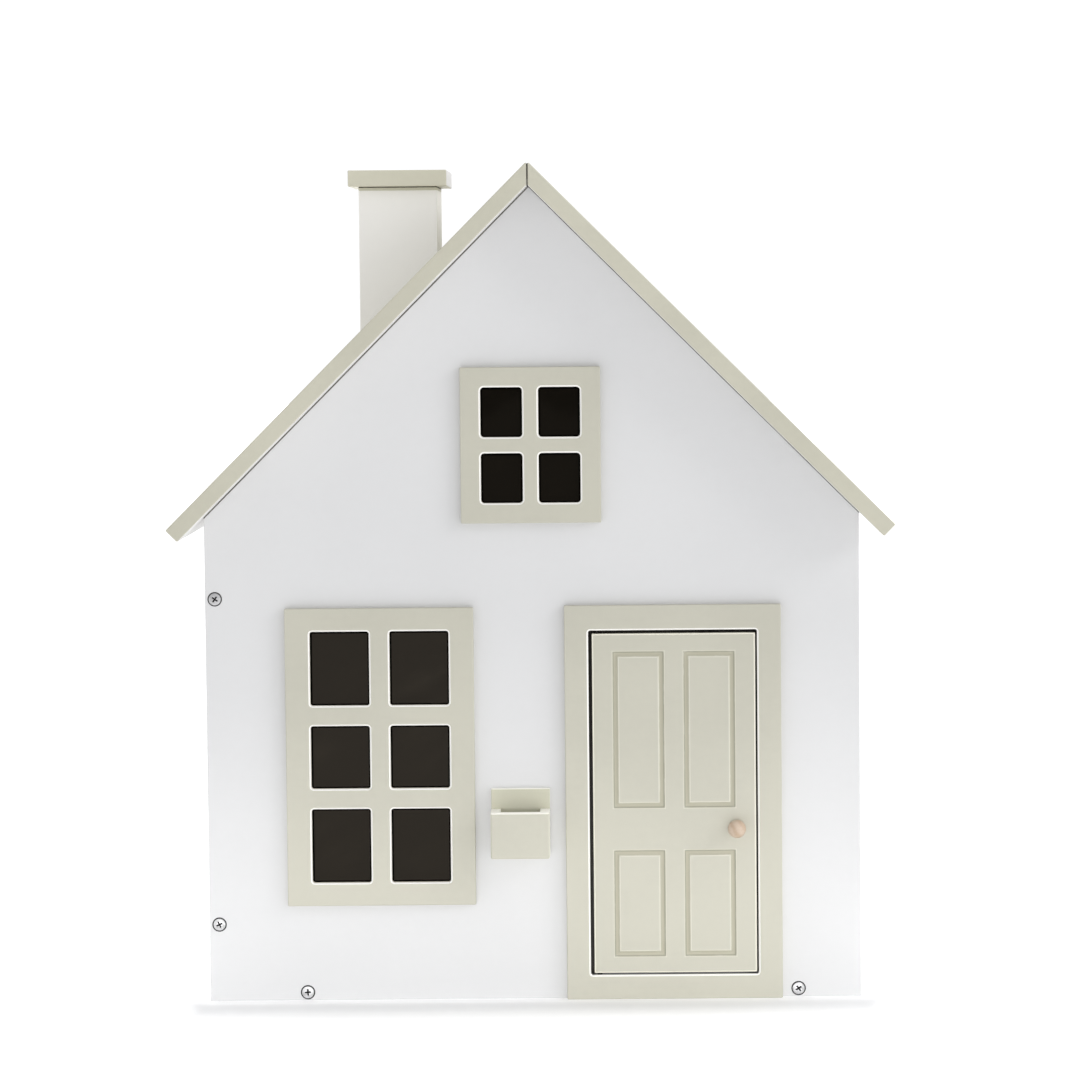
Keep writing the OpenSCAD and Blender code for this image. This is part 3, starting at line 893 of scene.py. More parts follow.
def eased_box(low: Vector, high: Vector, ease: float, steps: int) -> Shape:
    """Returns a box with eased edges between two corners."""
    section = np.array([[low.x, low.y], [high.x, low.y], [high.x, high.y], [low.x, high.y]])
    return eased_prism(section, ease, low.z, high.z, Axis.Z, steps)


def turned(radii: Array, heights: Array, sides: int) -> Shape:
    """Makes a shape round the Z axis, whose first and last rows lie on it.

    A point is (r cos t, r sin t, z) for each row and each angle t.

    Args:
        radii: The radius, as one column.
        heights: The height, as one column or with one for each angle.
        sides: The number of steps round.

    Returns:
        The closed shape.
    """
    angle = np.linspace(0.0, math.tau, sides, endpoint=False)
    points = np.stack([radii * np.cos(angle), radii * np.sin(angle), heights * np.ones(sides)], axis=-1)
    return Shape.sheet(points)


def slab(low: Vector, high: Vector, xs: Array, zs: Array, ease: float, relief: Relief) -> Shape:
    """Makes an upright slab whose front is pushed in by a relief, with all edges eased.

    At each (x, z) the front stands at front + drop(x) + drop(z) + relief(x, z), and the back at back -
    drop(x) - drop(z), where drop = r - sqrt(r^2 - (r - d)^2) within r of an edge at the distance d. Each
    level's front and back lines make one closed ring, and the two end levels are closed between them.

    Args:
        low: The slab's lowest corner, which gives its front.
        high: The slab's highest corner, which gives its back.
        xs: The columns, in order.
        zs: The levels, in order.
        ease: The radius of the edges.
        relief: The depth of the front's relief.

    Returns:
        The closed shape.
    """

    def drop(line: Array) -> Array:
        """Returns how far the faces step back near the two ends of a line."""
        near = np.clip(ease - np.minimum(line - line[0], line[-1] - line), 0.0, ease)
        return (ease - np.sqrt(np.clip(ease**2 - near**2, 0.0, None))) * 0.999

    x, z = np.meshgrid(xs, zs)
    step = np.minimum(drop(xs)[None, :] + drop(zs)[:, None], ease)
    front_rows = np.stack([x, low.y + step + relief(x, z), z], axis=-1)
    back_rows = np.stack([x, high.y - step, z], axis=-1)[:, ::-1]
    shape = Shape.sheet(np.concatenate([front_rows, back_rows], axis=1))
    count = len(xs)
    for level in (0, len(zs) - 1):
        ring = np.arange(2 * count) + level * 2 * count
        near, far = ring[:count], ring[count:][::-1]
        shape.faces.extend(np.stack([near[:-1], far[:-1], far[1:], near[1:]], axis=-1).tolist())
    return shape


def lines(
    low: float, high: float, ease: float, gap: float, stops: Sequence[float] = (), spread: float = 0.0
) -> Array:
    """Chooses the grid lines across a slab: close at its edges and at each stop, and wider between.

    Args:
        low: The first edge.
        high: The last edge.
        ease: The radius of the edges.
        gap: The widest step between lines.
        stops: Middles of grooves.
        spread: Half the width of a groove.

    Returns:
        The lines in order.
    """
    bend = ease * (1.0 - np.cos(np.linspace(0.0, QUARTER, 5)))
    across = np.sin(np.linspace(-QUARTER, QUARTER, 11)) * spread
    close = np.concatenate([low + bend, high - bend] + [stop + across for stop in stops])
    found = np.unique(np.round(close, 7))
    pairs = zip(found[:-1], found[1:])
    filled = [np.linspace(a, b, max(2, math.ceil((b - a) / gap) + 1))[:-1] for a, b in pairs]
    return np.concatenate(filled + [found[-1:]])


# The house


@dataclass
class Assembly:
    """A part of the house, with the CAD nodes and the ways to put pieces in their place."""

    nodes: dict[str, bpy.types.Object]

    def add(
        self, shape: Shape, name: str, node: str, slot: Slot, finish: Material, body: Body = Body.HOUSE
    ) -> None:
        """Makes a piece and puts it on its body in place of a CAD node, smooth with flat faces kept flat.

        Args:
            shape: The piece's shape.
            name: The piece's name.
            node: The CAD node that it stands for.
            slot: The record's material slot; not used.
            finish: The material.
            body: The body that it moves with.
        """
        piece = shape.mesh(name)
        piece.data.materials.append(finish)
        piece.data.shade_smooth()
        weighted = piece.modifiers.new("flat_faces", "WEIGHTED_NORMAL")
        weighted.keep_sharp = True
        weighted.weight = 100
        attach(piece, body.value)
        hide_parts(node)
        LOG.info("%s stands for %s on %s", name, node, body.value)

    def dress(self, nodes: Sequence[str], finish: Material) -> None:
        """Gives CAD nodes a finish and keeps their shapes.

        Args:
            nodes: The nodes.
            finish: The material.
        """
        for node in nodes:
            materials = self.nodes[node].data.materials
            if not materials:
                materials.append(finish)
            for index in range(len(materials)):
                materials[index] = finish
        LOG.info("finished %s", ", ".join(nodes))


def lip_highlight_paint(name: str, low: Vector, high: Vector, **fields: Any) -> Paint:
    """Makes the paint of a sage frame whose openings' rounded lips get a near-white painted highlight.

    Args:
        name: The finish's name.
        low: The frame's lowest corner.
        high: Its highest corner.
        fields: More fields of the paint.

    Returns:
        The paint.
    """
    zone = Zone.inset(low, high, 2.5 * MM)
    # The rounded lips inside the zone get the near-white painted highlight.
    lip = {"side": LIP_HIGHLIGHT, "side_from": 0.012, "side_blend": 0.05}
    return Paint(name, SAGE, rough=0.45, mottle=0.03, zone=zone, **lip, **fields)


class Doorway:
    """The opening round the door leaf."""

    hinge_gap: ClassVar[float] = 2.4 * MM
    knob_gap: ClassVar[float] = 1.2 * MM
    sill_gap: ClassVar[float] = 1.2 * MM
    top_gap: ClassVar[float] = 1.8 * MM
    corner: ClassVar[float] = 1.5 * MM

    @classmethod
    def loop(cls, ease: float) -> Loop:
        """Makes the opening's loop: the leaf's box and the gaps round it.

        Args:
            ease: The radius of the edges.

        Returns:
            The loop.
        """
        low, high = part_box("door_leaf")
        first = np.array([low.x - cls.hinge_gap, low.z - cls.sill_gap])
        last = np.array([high.x + cls.knob_gap, high.z + cls.top_gap])
        return Loop.rectangle(first, last, cls.corner, ease)


@dataclass
class Walls(Assembly):
    """The front wall with its openings, the side walls and the two floors."""

    ease: float = 0.8 * MM
    hole_ease: float = 0.3 * MM
    side_corner: float = 0.9 * MM
    pane_corner: float = 0.3 * MM
    # Width of the painted shadow line under the roof slopes.
    joint: float = 1.3 * MM
    screw_hole: float = 4.7 * MM
    door_margin: float = 4.0 * MM
    # Depths behind the wall's face where the doorway's cut sides start to get painted shade.
    gap_shade_depths: Range = (-0.1 * MM, 0.5 * MM)
    floor: Paint = Paint("white_floor_paint", (0.76, 0.76, 0.75), rough=0.42, mottle=0.03, peel=0.03 * MM)
    look: ClassVar[dict[str, float]] = {"rough": 0.5, "mottle": 0.012, "peel": 0.014 * MM}

    def screw_holes(self, node: str, plane: tuple[int, int]) -> list[Loop]:
        """Makes the round holes for a node's screws, at the corners of its box.

        Args:
            node: The screws' node.
            plane: The numbers of the two axes in the board's plane.

        Returns:
            The holes, each place once.
        """
        low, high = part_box(node)
        radius = Fixings.head_radius
        ends = [sorted({round(low[i] + radius, 6), round(high[i] - radius, 6)}) for i in plane]
        return [Loop.circle(u, v, self.screw_hole, self.hole_ease) for u in ends[0] for v in ends[1]]

    def front(self) -> Shape:
        """Makes the front wall: a house-shaped board with a doorway, two window openings and screw holes.

        Returns:
            The shape.
        """
        low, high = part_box("front_wall")
        shoulder = high.z - high.x
        outline = [(low.x, low.z), (high.x, low.z), (high.x, shoulder), (0.0, high.z), (low.x, shoulder)]
        loops = [Loop(np.array(outline), self.ease, hole=False)]
        for pane in ("lower_window_pane", "upper_window_pane"):
            first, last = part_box(pane)
            loops.append(Loop.rectangle(first.xz, last.xz, self.pane_corner, self.hole_ease))
        loops.append(Doorway.loop(self.hole_ease))
        for node in ("edge_screws", "base_screws"):
            loops.extend(self.screw_holes(node, (0, 2)))
        return board(loops, low.y, high.y, Axis.Y)

    def side(self, node: str) -> Shape:
        """Makes a side wall: a board whose top edge rises inwards with the roof's slope.

        Args:
            node: The wall's node.

        Returns:
            The shape.
        """
        low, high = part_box(node)
        outside = max(abs(low.x), abs(high.x))
        top = high.z - (high.x - low.x)
        first, last = np.array([low.y, low.z]), np.array([high.y, top])
        loops = [Loop.rectangle(first, last, self.side_corner, self.ease, hole=False)]
        loops.extend(self.screw_holes("side_screws", (1, 2)))
        shape = board(loops, low.x, high.x, Axis.X)
        x, z = shape.points[:, 0], shape.points[:, 2]
        shape.points[:, 2] = z + np.where(z > top - 2.0 * self.ease, outside - np.abs(x), 0.0)
        return shape

    def build(self) -> None:
        """Builds the walls as eased boards and paints the floors."""
        plane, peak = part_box("front_wall")[0].y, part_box("front_wall")[1].z
        door = Zone.inset(*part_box("door_leaf"), -self.door_margin)
        # The doorway's cut sides, behind a thin front edge, get near-black painted shade for the gap round
        # the leaf.
        deep = (plane + self.gap_shade_depths[0], plane + self.gap_shade_depths[1], GAP_SHADE)
        # A painted shadow line runs along the wall under both roof slopes.
        joint = (peak, self.joint)
        front = Paint("white_wall_paint", WHITE, slope_shadow_line=joint, zone=door, deep=deep, **self.look).make()
        side = Paint("white_side_paint", WHITE, **self.look).make()
        self.add(self.front(), "front_wall_board", "front_wall", Slot.WHITE, front)
        for node in ("left_wall", "right_wall"):
            self.add(self.side(node), f"{node}_board", node, Slot.WHITE, side)
        self.dress(["base_floor", "attic_floor"], self.floor.make())


@dataclass
class Roof(Assembly):
    """Two mitred boards, the wood under them, and the door's stops."""

    board: float = 12.0 * MM
    ease: float = 1.0 * MM
    under: ClassVar[Triple] = (0.80, 0.79, 0.77)
    pine: ClassVar[tuple[Triple, Triple]] = ((0.70, 0.55, 0.38), (0.52, 0.37, 0.22))
    # Near-black painted shade on the door stops' front faces, so that the gaps round the leaf read dark.
    stop_face_shade: ClassVar[Triple] = (0.006, 0.005, 0.004)
    look: ClassVar[dict[str, float]] = {"rough": 0.48, "mottle": 0.045, "ridge_joint": 0.75 * MM}

    def section(self, low: Vector, high: Vector, side: float) -> Array:
        """Works out a roof board's section from its box.

        The outer face runs at 45 degrees from the ridge down to the eaves' tip, the inner face lies one
        board's thickness under it, the ridge end is cut upright and the eaves' end square.

        Args:
            low: The box's lowest corner.
            high: The box's highest corner.
            side: -1 for the left board and 1 for the right one.

        Returns:
            The four corners in X and Z.
        """
        tip = self.board / math.sqrt(2.0)
        reach, top = max(abs(low.x), abs(high.x)), high.z
        corners = [(0.0, top), (reach, top - reach), (reach - tip, top - reach - tip), (0.0, top - 2.0 * tip)]
        return np.array(corners) * (side, 1.0)

    def build(self) -> None:
        """Builds both boards and finishes the wood inside the house."""
        paint = Paint("sage_roof_paint", ROOF_SAGE, under=self.under, turn=QUARTER / 2.0, **self.look).make()
        for node, side in (("roof_left", -1.0), ("roof_right", 1.0)):
            low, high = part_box(node)
            shape = eased_prism(self.section(low, high, side), self.ease, low.y, high.y, Axis.Y, 4)
            self.add(shape, f"{node}_board", node, Slot.SAGE, paint)
        cleats = [f"{place}_cleat_{side}" for place in ("gable", "eave") for side in ("left", "right")]
        batten = BareWood("planed_batten", *self.pine, along=Axis.Y, rings=420.0)
        self.dress(["ridge_batten", *cleats, "chimney_block"], batten.make())
        stop = BareWood("stop_with_painted_shade", *self.pine, rings=420.0, face=self.stop_face_shade)
        self.dress([f"door_stop_{side}" for side in ("left", "right", "top")], stop.make())


@dataclass
class Chimney(Assembly):
    """A shaft of four boards on the left slope, with a wide cap."""

    ease: float = 0.6 * MM
    cap_ease: float = 0.9 * MM
    band: float = 2.9 * MM
    # Depth of the painted shadow line just under the cap.
    joint: float = 0.8 * MM
    # Near-white painted highlight on the cap's ends.
    cap_ends: Triple = (0.78, 0.77, 0.775)

    def build(self) -> None:
        """Builds the shaft's boards, whose lower ends follow the slope, and the cap."""
        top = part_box("chimney_front")[1].z
        # A sage band at the shaft's top, and a painted shadow line just under the cap.
        pale = (top - self.band, top + self.band, shade(ROOF_SAGE, 1.1))
        bands = (pale, (top - self.joint, top + self.band, JOINT_LINE_AND_SHADE))
        # The shaft's white is a lighter copy of the walls' white: painted light.
        shaft = Paint("white_chimney_paint", CHIMNEY_LIT_WHITE, mottle=0.015, bands=bands).make()
        for node in ("chimney_front", "chimney_back", "chimney_left", "chimney_right"):
            low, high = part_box(node)
            slope = low.z + high.x - low.x
            section = np.array([[low.x, low.z], [high.x, slope], [high.x, high.z], [low.x, high.z]])
            shape = eased_prism(section, self.ease, low.y, high.y, Axis.Y)
            self.add(shape, f"{node}_board", node, Slot.WHITE, shaft)
        # The cap is a lighter copy of the roof's sage, painted light, with a painted highlight on its ends.
        look = {"rough": 0.48, "mottle": 0.035, "ends": self.cap_ends}
        cap = Paint("sage_cap_paint", shade(ROOF_SAGE, 1.18), **look).make()
        shape = eased_box(*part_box("chimney_cap"), self.cap_ease, 4)
        self.add(shape, "chimney_cap_board", "chimney_cap", Slot.SAGE, cap)


@dataclass(frozen=True)
class Sash:
    """The lights of one window: two columns, and rows from the bottom up."""

    width: float
    heights: tuple[float, ...]
    bar: float
    corner: float
    smoked: SmokedSheet
    sink: float = 0.35 * MM

    def inset(self, middle: Vector) -> Callable[[Value, Value], Value]:
        """Makes the function that tells how far a point lies inside the nearest light's edge.

        The lights are mirrored about the frame's middle, so that only the distances from it matter.

        Args:
            middle: The frame's middle.

        Returns:
            The function of x and z.
        """
        ends = np.cumsum(self.heights) + self.bar * np.arange(len(self.heights))
        centres = ends - np.array(self.heights) / 2.0 - ends[-1] / 2.0
        rows = [(float(c), h) for c, h in zip(centres, self.heights) if c > -0.001 * MM]

        def depth(x: Value, z: Value) -> Value:
            """Works out the distance to the nearest edge, as seen in the pane from a little above.

            Args:
                x: The place along X.
                z: The place along Z.

            Returns:
                The distance.
            """
            across, upwards = abs(x - middle.x), abs(z + self.sink - middle.z)
            inside = self.width / 2.0 - abs(across - (self.bar + self.width) / 2.0)
            parts = [height / 2.0 - abs(upwards - centre) for centre, height in rows]
            return inside.least(functools.reduce(Value.most, parts))

        return depth

    def loops(self, low: Vector, high: Vector, ease: float) -> list[Loop]:
        """Places the lights in the middle of the frame.

        Args:
            low: The frame's lowest corner.
            high: Its highest corner.
            ease: The radius of the edges.

        Returns:
            One loop for each light.
        """
        stile = (high.x - low.x - 2.0 * self.width - self.bar) / 2.0
        bottom = (low.z + high.z - sum(self.heights) - self.bar * (len(self.heights) - 1)) / 2.0
        found = []
        for height in self.heights:
            for left in (low.x + stile, low.x + stile + self.width + self.bar):
                first, last = np.array([left, bottom]), np.array([left + self.width, bottom + height])
                found.append(Loop.rectangle(first, last, self.corner, ease))
            bottom += height + self.bar
        return found


@dataclass
class Windows(Assembly):
    """Two routed frames on the front wall with smoked panes behind them."""

    ease: float = 1.6 * MM
    outer_ease: float = 0.7 * MM
    corner: float = 0.8 * MM
    pane_ease: float = 0.3 * MM
    pane_gap: float = 3.0 * MM
    wave: float = 0.05 * MM
    reveal: Triple = (0.80, 0.74, 0.60)
    lower: Sash = Sash(
        42.4 * MM,
        (53.2 * MM, 45.2 * MM, 53.2 * MM),
        14.8 * MM,
        1.8 * MM,
        SmokedSheet("smoked_pane_lower", (0.0045, 0.0038, 0.0026), 1.33),
    )
    # The upper sheet is a darker and less reflective copy of the lower one: painted shade that dims its
    # reflections.
    upper: Sash = Sash(
        29.8 * MM,
        (35.6 * MM, 35.6 * MM),
        11.6 * MM,
        2.5 * MM,
        SmokedSheet("smoked_pane_upper", (0.0030, 0.0024, 0.0014), 1.17),
    )

    def sheet(self, low: Vector, high: Vector) -> Shape:
        """Makes a pane: a thin slab whose front has a very shallow long wave.

        The wave is the product of two sines, of about a length and a half across each way.

        Args:
            low: The pane's lowest corner.
            high: Its highest corner.

        Returns:
            The closed shape.
        """

        def relief(x: Array, z: Array) -> Array:
            """Works out the wave's depth.

            Args:
                x: The place along X, point by point.
                z: The place along Z.

            Returns:
                The depth.
            """
            u = (x - low.x) / (high.x - low.x)
            v = (z - low.z) / (high.z - low.z)
            return self.wave * (0.5 + 0.5 * np.sin(9.0 * u + 0.6) * np.sin(8.0 * v + 0.3))

        xs = lines(low.x, high.x, self.pane_ease, self.pane_gap)
        zs = lines(low.z, high.z, self.pane_ease, self.pane_gap)
        return slab(low, high, xs, zs, self.pane_ease, relief)

    def build(self) -> None:
        """Builds both frames and both panes."""
        for place, sash in (("lower", self.lower), ("upper", self.upper)):
            node = f"{place}_window_frame"
            low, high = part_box(node)
            paint = lip_highlight_paint(f"sage_{place}_frame_paint", low, high, reveal=self.reveal).make()
            outline = Loop.rectangle(low.xz, high.xz, self.corner, self.outer_ease, hole=False, steps=3)
            frame = board([outline] + sash.loops(low, high, self.ease), low.y, high.y, Axis.Y)
            self.add(frame, f"{place}_window_surround", node, Slot.SAGE, paint)
            smoked = sash.smoked.make(sash.inset((low + high) / 2.0))
            node = f"{place}_window_pane"
            self.add(self.sheet(*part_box(node)), f"{place}_window_sheet", node, Slot.PANE, smoked)


@dataclass
class FrontDoor(Assembly):
    """The door frame, the leaf with its four routed panels, and the turned knob."""

    frame_ease: float = 1.6 * MM
    outer_ease: float = 0.7 * MM
    corner: float = 0.8 * MM
    leaf_ease: float = 1.3 * MM
    leaf_gap: float = 12.0 * MM
    hinge_trim: float = 0.15 * MM
    top_trim: float = 0.55 * MM
    cove_radius: float = 2.4 * MM
    cove_depth: float = 1.3 * MM
    # Depths behind the leaf's face that get painted shade in the coves.
    cove_shade: Range = (0.15 * MM, 0.9 * MM)
    panel_width: float = 37.2 * MM
    panel_gap: float = 13.6 * MM
    panel_rows: ClassVar[tuple[Range, ...]] = ((30.6 * MM, 77.4 * MM), (138.2 * MM, 113.4 * MM))
    # Darker sage for the painted shade in the coves.
    groove: ClassVar[Triple] = (0.500, 0.480, 0.375)
    # A painted highlight along each cove's outer edge, a painted shadow line just inside it, and a painted
    # highlight along its inner edge.
    cove_light_and_shadow_lines: ClassVar[tuple[Band, ...]] = (
        (1.9 * MM, 2.6 * MM, (0.66, 0.645, 0.545)),
        (1.0 * MM, 1.8 * MM, (0.375, 0.365, 0.285)),
        (-2.6 * MM, -1.7 * MM, (0.71, 0.695, 0.60)),
    )
    # The leaf's outer rounded edges get a cream painted highlight.
    look: ClassVar[dict[str, Any]] = {"rough": 0.45, "mottle": 0.03, "side": LEAF_EDGE_HIGHLIGHT, "side_from": 0.008}
    beech: ClassVar[tuple[Triple, Triple]] = ((0.62, 0.505, 0.40), (0.52, 0.385, 0.275))

    @property
    def cove_reach(self) -> float:
        """Returns half the width of a cove at the leaf's face."""
        return math.sqrt(self.cove_radius**2 - (self.cove_radius - self.cove_depth) ** 2)

    def panels(self, middle: float) -> list[Zone]:
        """Makes the rectangles that the coves follow, panel by panel.

        Args:
            middle: The leaf's middle.

        Returns:
            The rectangles.
        """
        reach = self.cove_reach
        found = []
        for left in (middle - self.panel_gap / 2.0 - self.panel_width, middle + self.panel_gap / 2.0):
            for bottom, height in self.panel_rows:
                right, top = left + self.panel_width, bottom + height
                found.append(Zone(left + reach, right - reach, bottom + reach, top - reach))
        return found

    def relief(self, coves: Sequence[Zone]) -> Relief:
        """Makes the function of the leaf's relief.

        For each rectangle the distance d from its line is the absolute value of its signed distance, and the
        cove is sqrt(R^2 - d^2) - (R - depth) where that is above zero.

        Args:
            coves: The rectangles that the coves follow.

        Returns:
            The relief.
        """

        def depth(x: Array, z: Array) -> Array:
            """Works out the coves' depth.

            Args:
                x: The place along X, point by point.
                z: The place along Z.

            Returns:
                The depth.
            """
            total = np.zeros_like(x)
            for cove in coves:
                dx = np.abs(x - (cove.left + cove.right) / 2.0) - (cove.right - cove.left) / 2.0
                dz = np.abs(z - (cove.bottom + cove.top) / 2.0) - (cove.top - cove.bottom) / 2.0
                outside = np.hypot(np.maximum(dx, 0.0), np.maximum(dz, 0.0))
                away = np.abs(outside + np.minimum(np.maximum(dx, dz), 0.0))
                bowl = np.sqrt(np.clip(self.cove_radius**2 - away**2, 0.0, None))
                total = np.maximum(total, bowl - (self.cove_radius - self.cove_depth))
            return total

        return depth

    def frame(self) -> None:
        """Builds the frame round the leaf, with near-black painted shade on the cut sides behind its lip, for
        the gap round the leaf.
        """
        low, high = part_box("door_frame")
        outline = Loop.rectangle(low.xz, high.xz, self.corner, self.outer_ease, hole=False, steps=3)
        surround = board([outline, Doorway.loop(self.frame_ease)], low.y, high.y, Axis.Y)
        lip = low.y + self.frame_ease
        finish = lip_highlight_paint("sage_door_frame_paint", low, high, deep=(lip - 0.2 * MM, lip + 0.3 * MM, GAP_SHADE))
        self.add(surround, "door_surround", "door_frame", Slot.SAGE, finish.make())

    def leaf(self) -> None:
        """Builds the leaf with its coves, a little smaller than its box at the hinges and at the top."""
        low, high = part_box("door_leaf")
        coves = self.panels((low.x + high.x) / 2.0)
        low, high = low + Vector((self.hinge_trim, 0.0, 0.0)), high - Vector((0.0, 0.0, self.top_trim))
        upright = [x for cove in coves for x in (cove.left, cove.right)]
        level = [z for cove in coves for z in (cove.bottom, cove.top)]
        xs = lines(low.x, high.x, self.leaf_ease, self.leaf_gap, upright, self.cove_reach)
        zs = lines(low.z, high.z, self.leaf_ease, self.leaf_gap, level, self.cove_reach)
        leaf = slab(low, high, xs, zs, self.leaf_ease, self.relief(coves))
        # Painted shade in the coves, painted highlight and shadow lines along them, and a painted highlight
        # on the leaf's outer rounded edges.
        cove_shade = (low.y + self.cove_shade[0], low.y + self.cove_shade[1], self.groove)
        edge = {"zone": Zone.inset(low, high, self.leaf_ease + 0.2 * MM), "outer": True, "side_blend": 0.04}
        relief = {"cove_shade": cove_shade, "coves": tuple(coves), "cove_light_and_shadow_lines": self.cove_light_and_shadow_lines}
        paint = Paint("sage_door_paint", SAGE, **self.look, **edge, **relief).make()
        self.add(leaf, "door_panelled_leaf", "door_leaf", Slot.SAGE, paint, Body.DOOR)

    def knob(self) -> None:
        """Builds the knob.

        Its ball is a circle, slightly flattened at the tip, that runs into a waisted neck and a small foot.
        """
        low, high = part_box("door_knob")
        middle = (low + high) / 2.0
        radius, length = (high.z - low.z) / 2.0, high.y - low.y
        angle = np.linspace(0.0, 2.45, 30)
        ball_r, ball_z = radius * np.sin(angle), length - radius * 0.97 * (1.0 - np.cos(angle))
        t = np.linspace(0.0, 1.0, 9)[1:]
        neck_r = ball_r[-1] + (0.5 * radius - ball_r[-1]) * t - 0.06 * radius * np.sin(math.pi * t)
        radii = np.concatenate([ball_r, neck_r, [0.0]])[:, None]
        heights = np.concatenate([ball_z, ball_z[-1] * (1.0 - t), [0.0]])[:, None]
        wood = BareWood("turned_beech", *self.beech, Axis.Y, tuple(middle), rings=520.0, rough=0.5).make()
        matrix = Matrix.Translation((middle.x, high.y, middle.z)) @ Matrix.Rotation(QUARTER, 4, "X")
        shape = turned(radii, heights, 64).moved(matrix)
        self.add(shape, "door_turned_knob", "door_knob", Slot.BEECH, wood, Body.DOOR)

    def build(self) -> None:
        """Builds the frame, the leaf and the knob."""
        self.frame()
        self.leaf()
        self.knob()


@dataclass
class Letterbox(Assembly):
    """An open-topped box of five small boards on the front wall."""

    ease: float = 0.6 * MM
    front_ease: float = 1.4 * MM
    # The letterbox's cut sides and ends are painted lighter, and its tops lighter still: painted highlights
    # where the light falls.
    cut: Triple = (0.76, 0.745, 0.66)
    top: Triple = (0.96, 0.945, 0.87)
    # The back board's sage is a lighter copy: painted light inside the box.
    lit_back_sage: Triple = (0.600, 0.588, 0.462)

    def build(self) -> None:
        """Builds the five boards."""
        look = {"mottle": 0.03, "side": self.cut, "side_from": 0.30, "top": self.top}
        paint = Paint("sage_letterbox_paint", SAGE, **look).make()
        lit_back_paint = Paint("sage_letterbox_lit_back_paint", self.lit_back_sage, **look).make()
        for part in ("back", "front", "left", "right", "bottom"):
            node = f"letterbox_{part}"
            shape = eased_box(*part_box(node), self.front_ease if part == "front" else self.ease, 5)
            self.add(shape, f"{node}_board", node, Slot.SAGE, lit_back_paint if part == "back" else paint)


@dataclass
class Fixings(Assembly):
    """The cross-recess screws, and the steel pieces that keep their CAD shapes."""

    head_radius: float = 5.2 * MM
    dome: float = 0.55 * MM
    rim: float = 0.5 * MM
    cone: float = 3.0 * MM
    shank: float = 1.95 * MM
    point: float = 2.0 * MM
    tip: float = 0.4 * MM
    arm: float = 0.46 * MM
    reach: float = 2.5 * MM
    recess: float = 1.7 * MM
    # Depths behind the wall's face that get painted dirt and painted shade on the screw heads.
    grime_and_shade: Range = (-0.68 * MM, -0.40 * MM)
    zinc: PlatedSteel = PlatedSteel("zinc_plate", (0.62, 0.62, 0.63), 0.45)
    steel: PlatedSteel = PlatedSteel("drawn_steel", (0.52, 0.52, 0.53), 0.28)
    oxide: PlatedSteel = PlatedSteel("oxide_steel", (0.030, 0.029, 0.028), 0.55)
    turns: ClassVar[dict[str, Range]] = {"edge": (0.42, 0.95), "base": (0.08, 0.62)}

    def screw(self, length: float, turn: float, sides: int = 96) -> Shape:
        """Makes one screw, its head towards +Z and the board's face at zero.

        The head's height is rim + dome (1 - (r/R)^2), less the recess where the distance to the nearer arm
        of the cross is small: a smooth ramp over the arm's edge, that gets narrower with depth. Under the
        head the profile follows the cone and the shank to a pole.

        Args:
            length: From the board's face to the screw's end.
            turn: The turn of the cross, in radians.
            sides: The number of steps round.

        Returns:
            The closed shape.
        """
        radius = self.head_radius
        angle = np.linspace(0.0, math.tau, sides, endpoint=False) - turn
        r = np.linspace(0.0, 1.0, 40)[:, None] * (radius - 1.15 * MM)
        x, y = np.abs(r * np.cos(angle)), np.abs(r * np.sin(angle))
        side = np.clip((self.arm * 1.25 - np.minimum(x, y)) / (self.arm * 0.5), 0.0, 1.0)
        outer = np.clip((self.reach - np.maximum(x, y)) / (self.reach * 0.28), 0.0, 1.0)
        cut = self.recess * side * side * (3.0 - 2.0 * side) * outer * outer * (3.0 - 2.0 * outer)
        top = self.rim + self.dome * (1.0 - (r / radius) ** 2) - cut
        edge = [(0.55 * MM, 0.36 * MM), (0.12 * MM, 0.18 * MM), (0.0, 0.02 * MM), (0.4 * MM, 0.0)]
        shank = [(self.shank, -self.cone), (self.shank, self.point - length)]
        end = [(self.tip, -length), (0.0, -length)]
        under = np.array([(radius - inwards, height) for inwards, height in edge] + shank + end)
        heights = np.concatenate([top, under[:, 1:] * np.ones(sides)])
        return turned(np.concatenate([r, under[:, :1]]), heights, sides)

    def build(self) -> None:
        """Builds the screws in the front wall and finishes the steel pieces."""
        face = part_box("front_wall")[0].y
        grime_and_shade = (face + self.grime_and_shade[0], face + self.grime_and_shade[1])
        driven = replace(self.zinc, name="zinc_plate_driven", grime_and_shade=grime_and_shade).make()
        forward = Matrix.Rotation(QUARTER, 4, "X")
        for place, turns in self.turns.items():
            low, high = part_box(f"{place}_screws")
            r = min(high.x - low.x, high.z - low.z) / 2.0
            middles = ((low.x + r, face, low.z + r), (high.x - r, face, high.z - r))
            screws = [
                self.screw(high.y - face, turn).moved(Matrix.Translation(middle) @ forward)
                for middle, turn in zip(middles, turns)
            ]
            self.add(Shape.joined(screws), f"{place}_cross_screws", f"{place}_screws", Slot.SCREW, driven)
        self.dress(["side_screws", "roof_screws", "chimney_screws", "knob_screw"], self.zinc.make())
        self.dress(["hinge_pins", "hinge_washer"], self.oxide.make())
        self.dress(["catch_magnet", "catch_plate"], self.steel.make())


# The studio


@dataclass(frozen=True)
class SoftBox:
    """A rectangular lamp: its place, target and size in metres, its beam in degrees, its power in watts."""

    name: str
    place: Triple
    target: Triple
    size: Range
    beam: float
    power: float

    def build(self) -> None:
        """Adds the lamp to the scene."""
        data = bpy.data.lights.new(self.name, "AREA")
        data.shape = "RECTANGLE"
        data.size, data.size_y = self.size
        data.spread = math.radians(self.beam)
        data.energy = self.power
        made = bpy.data.objects.new(self.name, data)
        made.location = self.place
        aim = Vector(self.target) - Vector(self.place)
        made.rotation_euler = aim.to_track_quat("-Z", "Y").to_euler()
        bpy.context.scene.collection.objects.link(made)


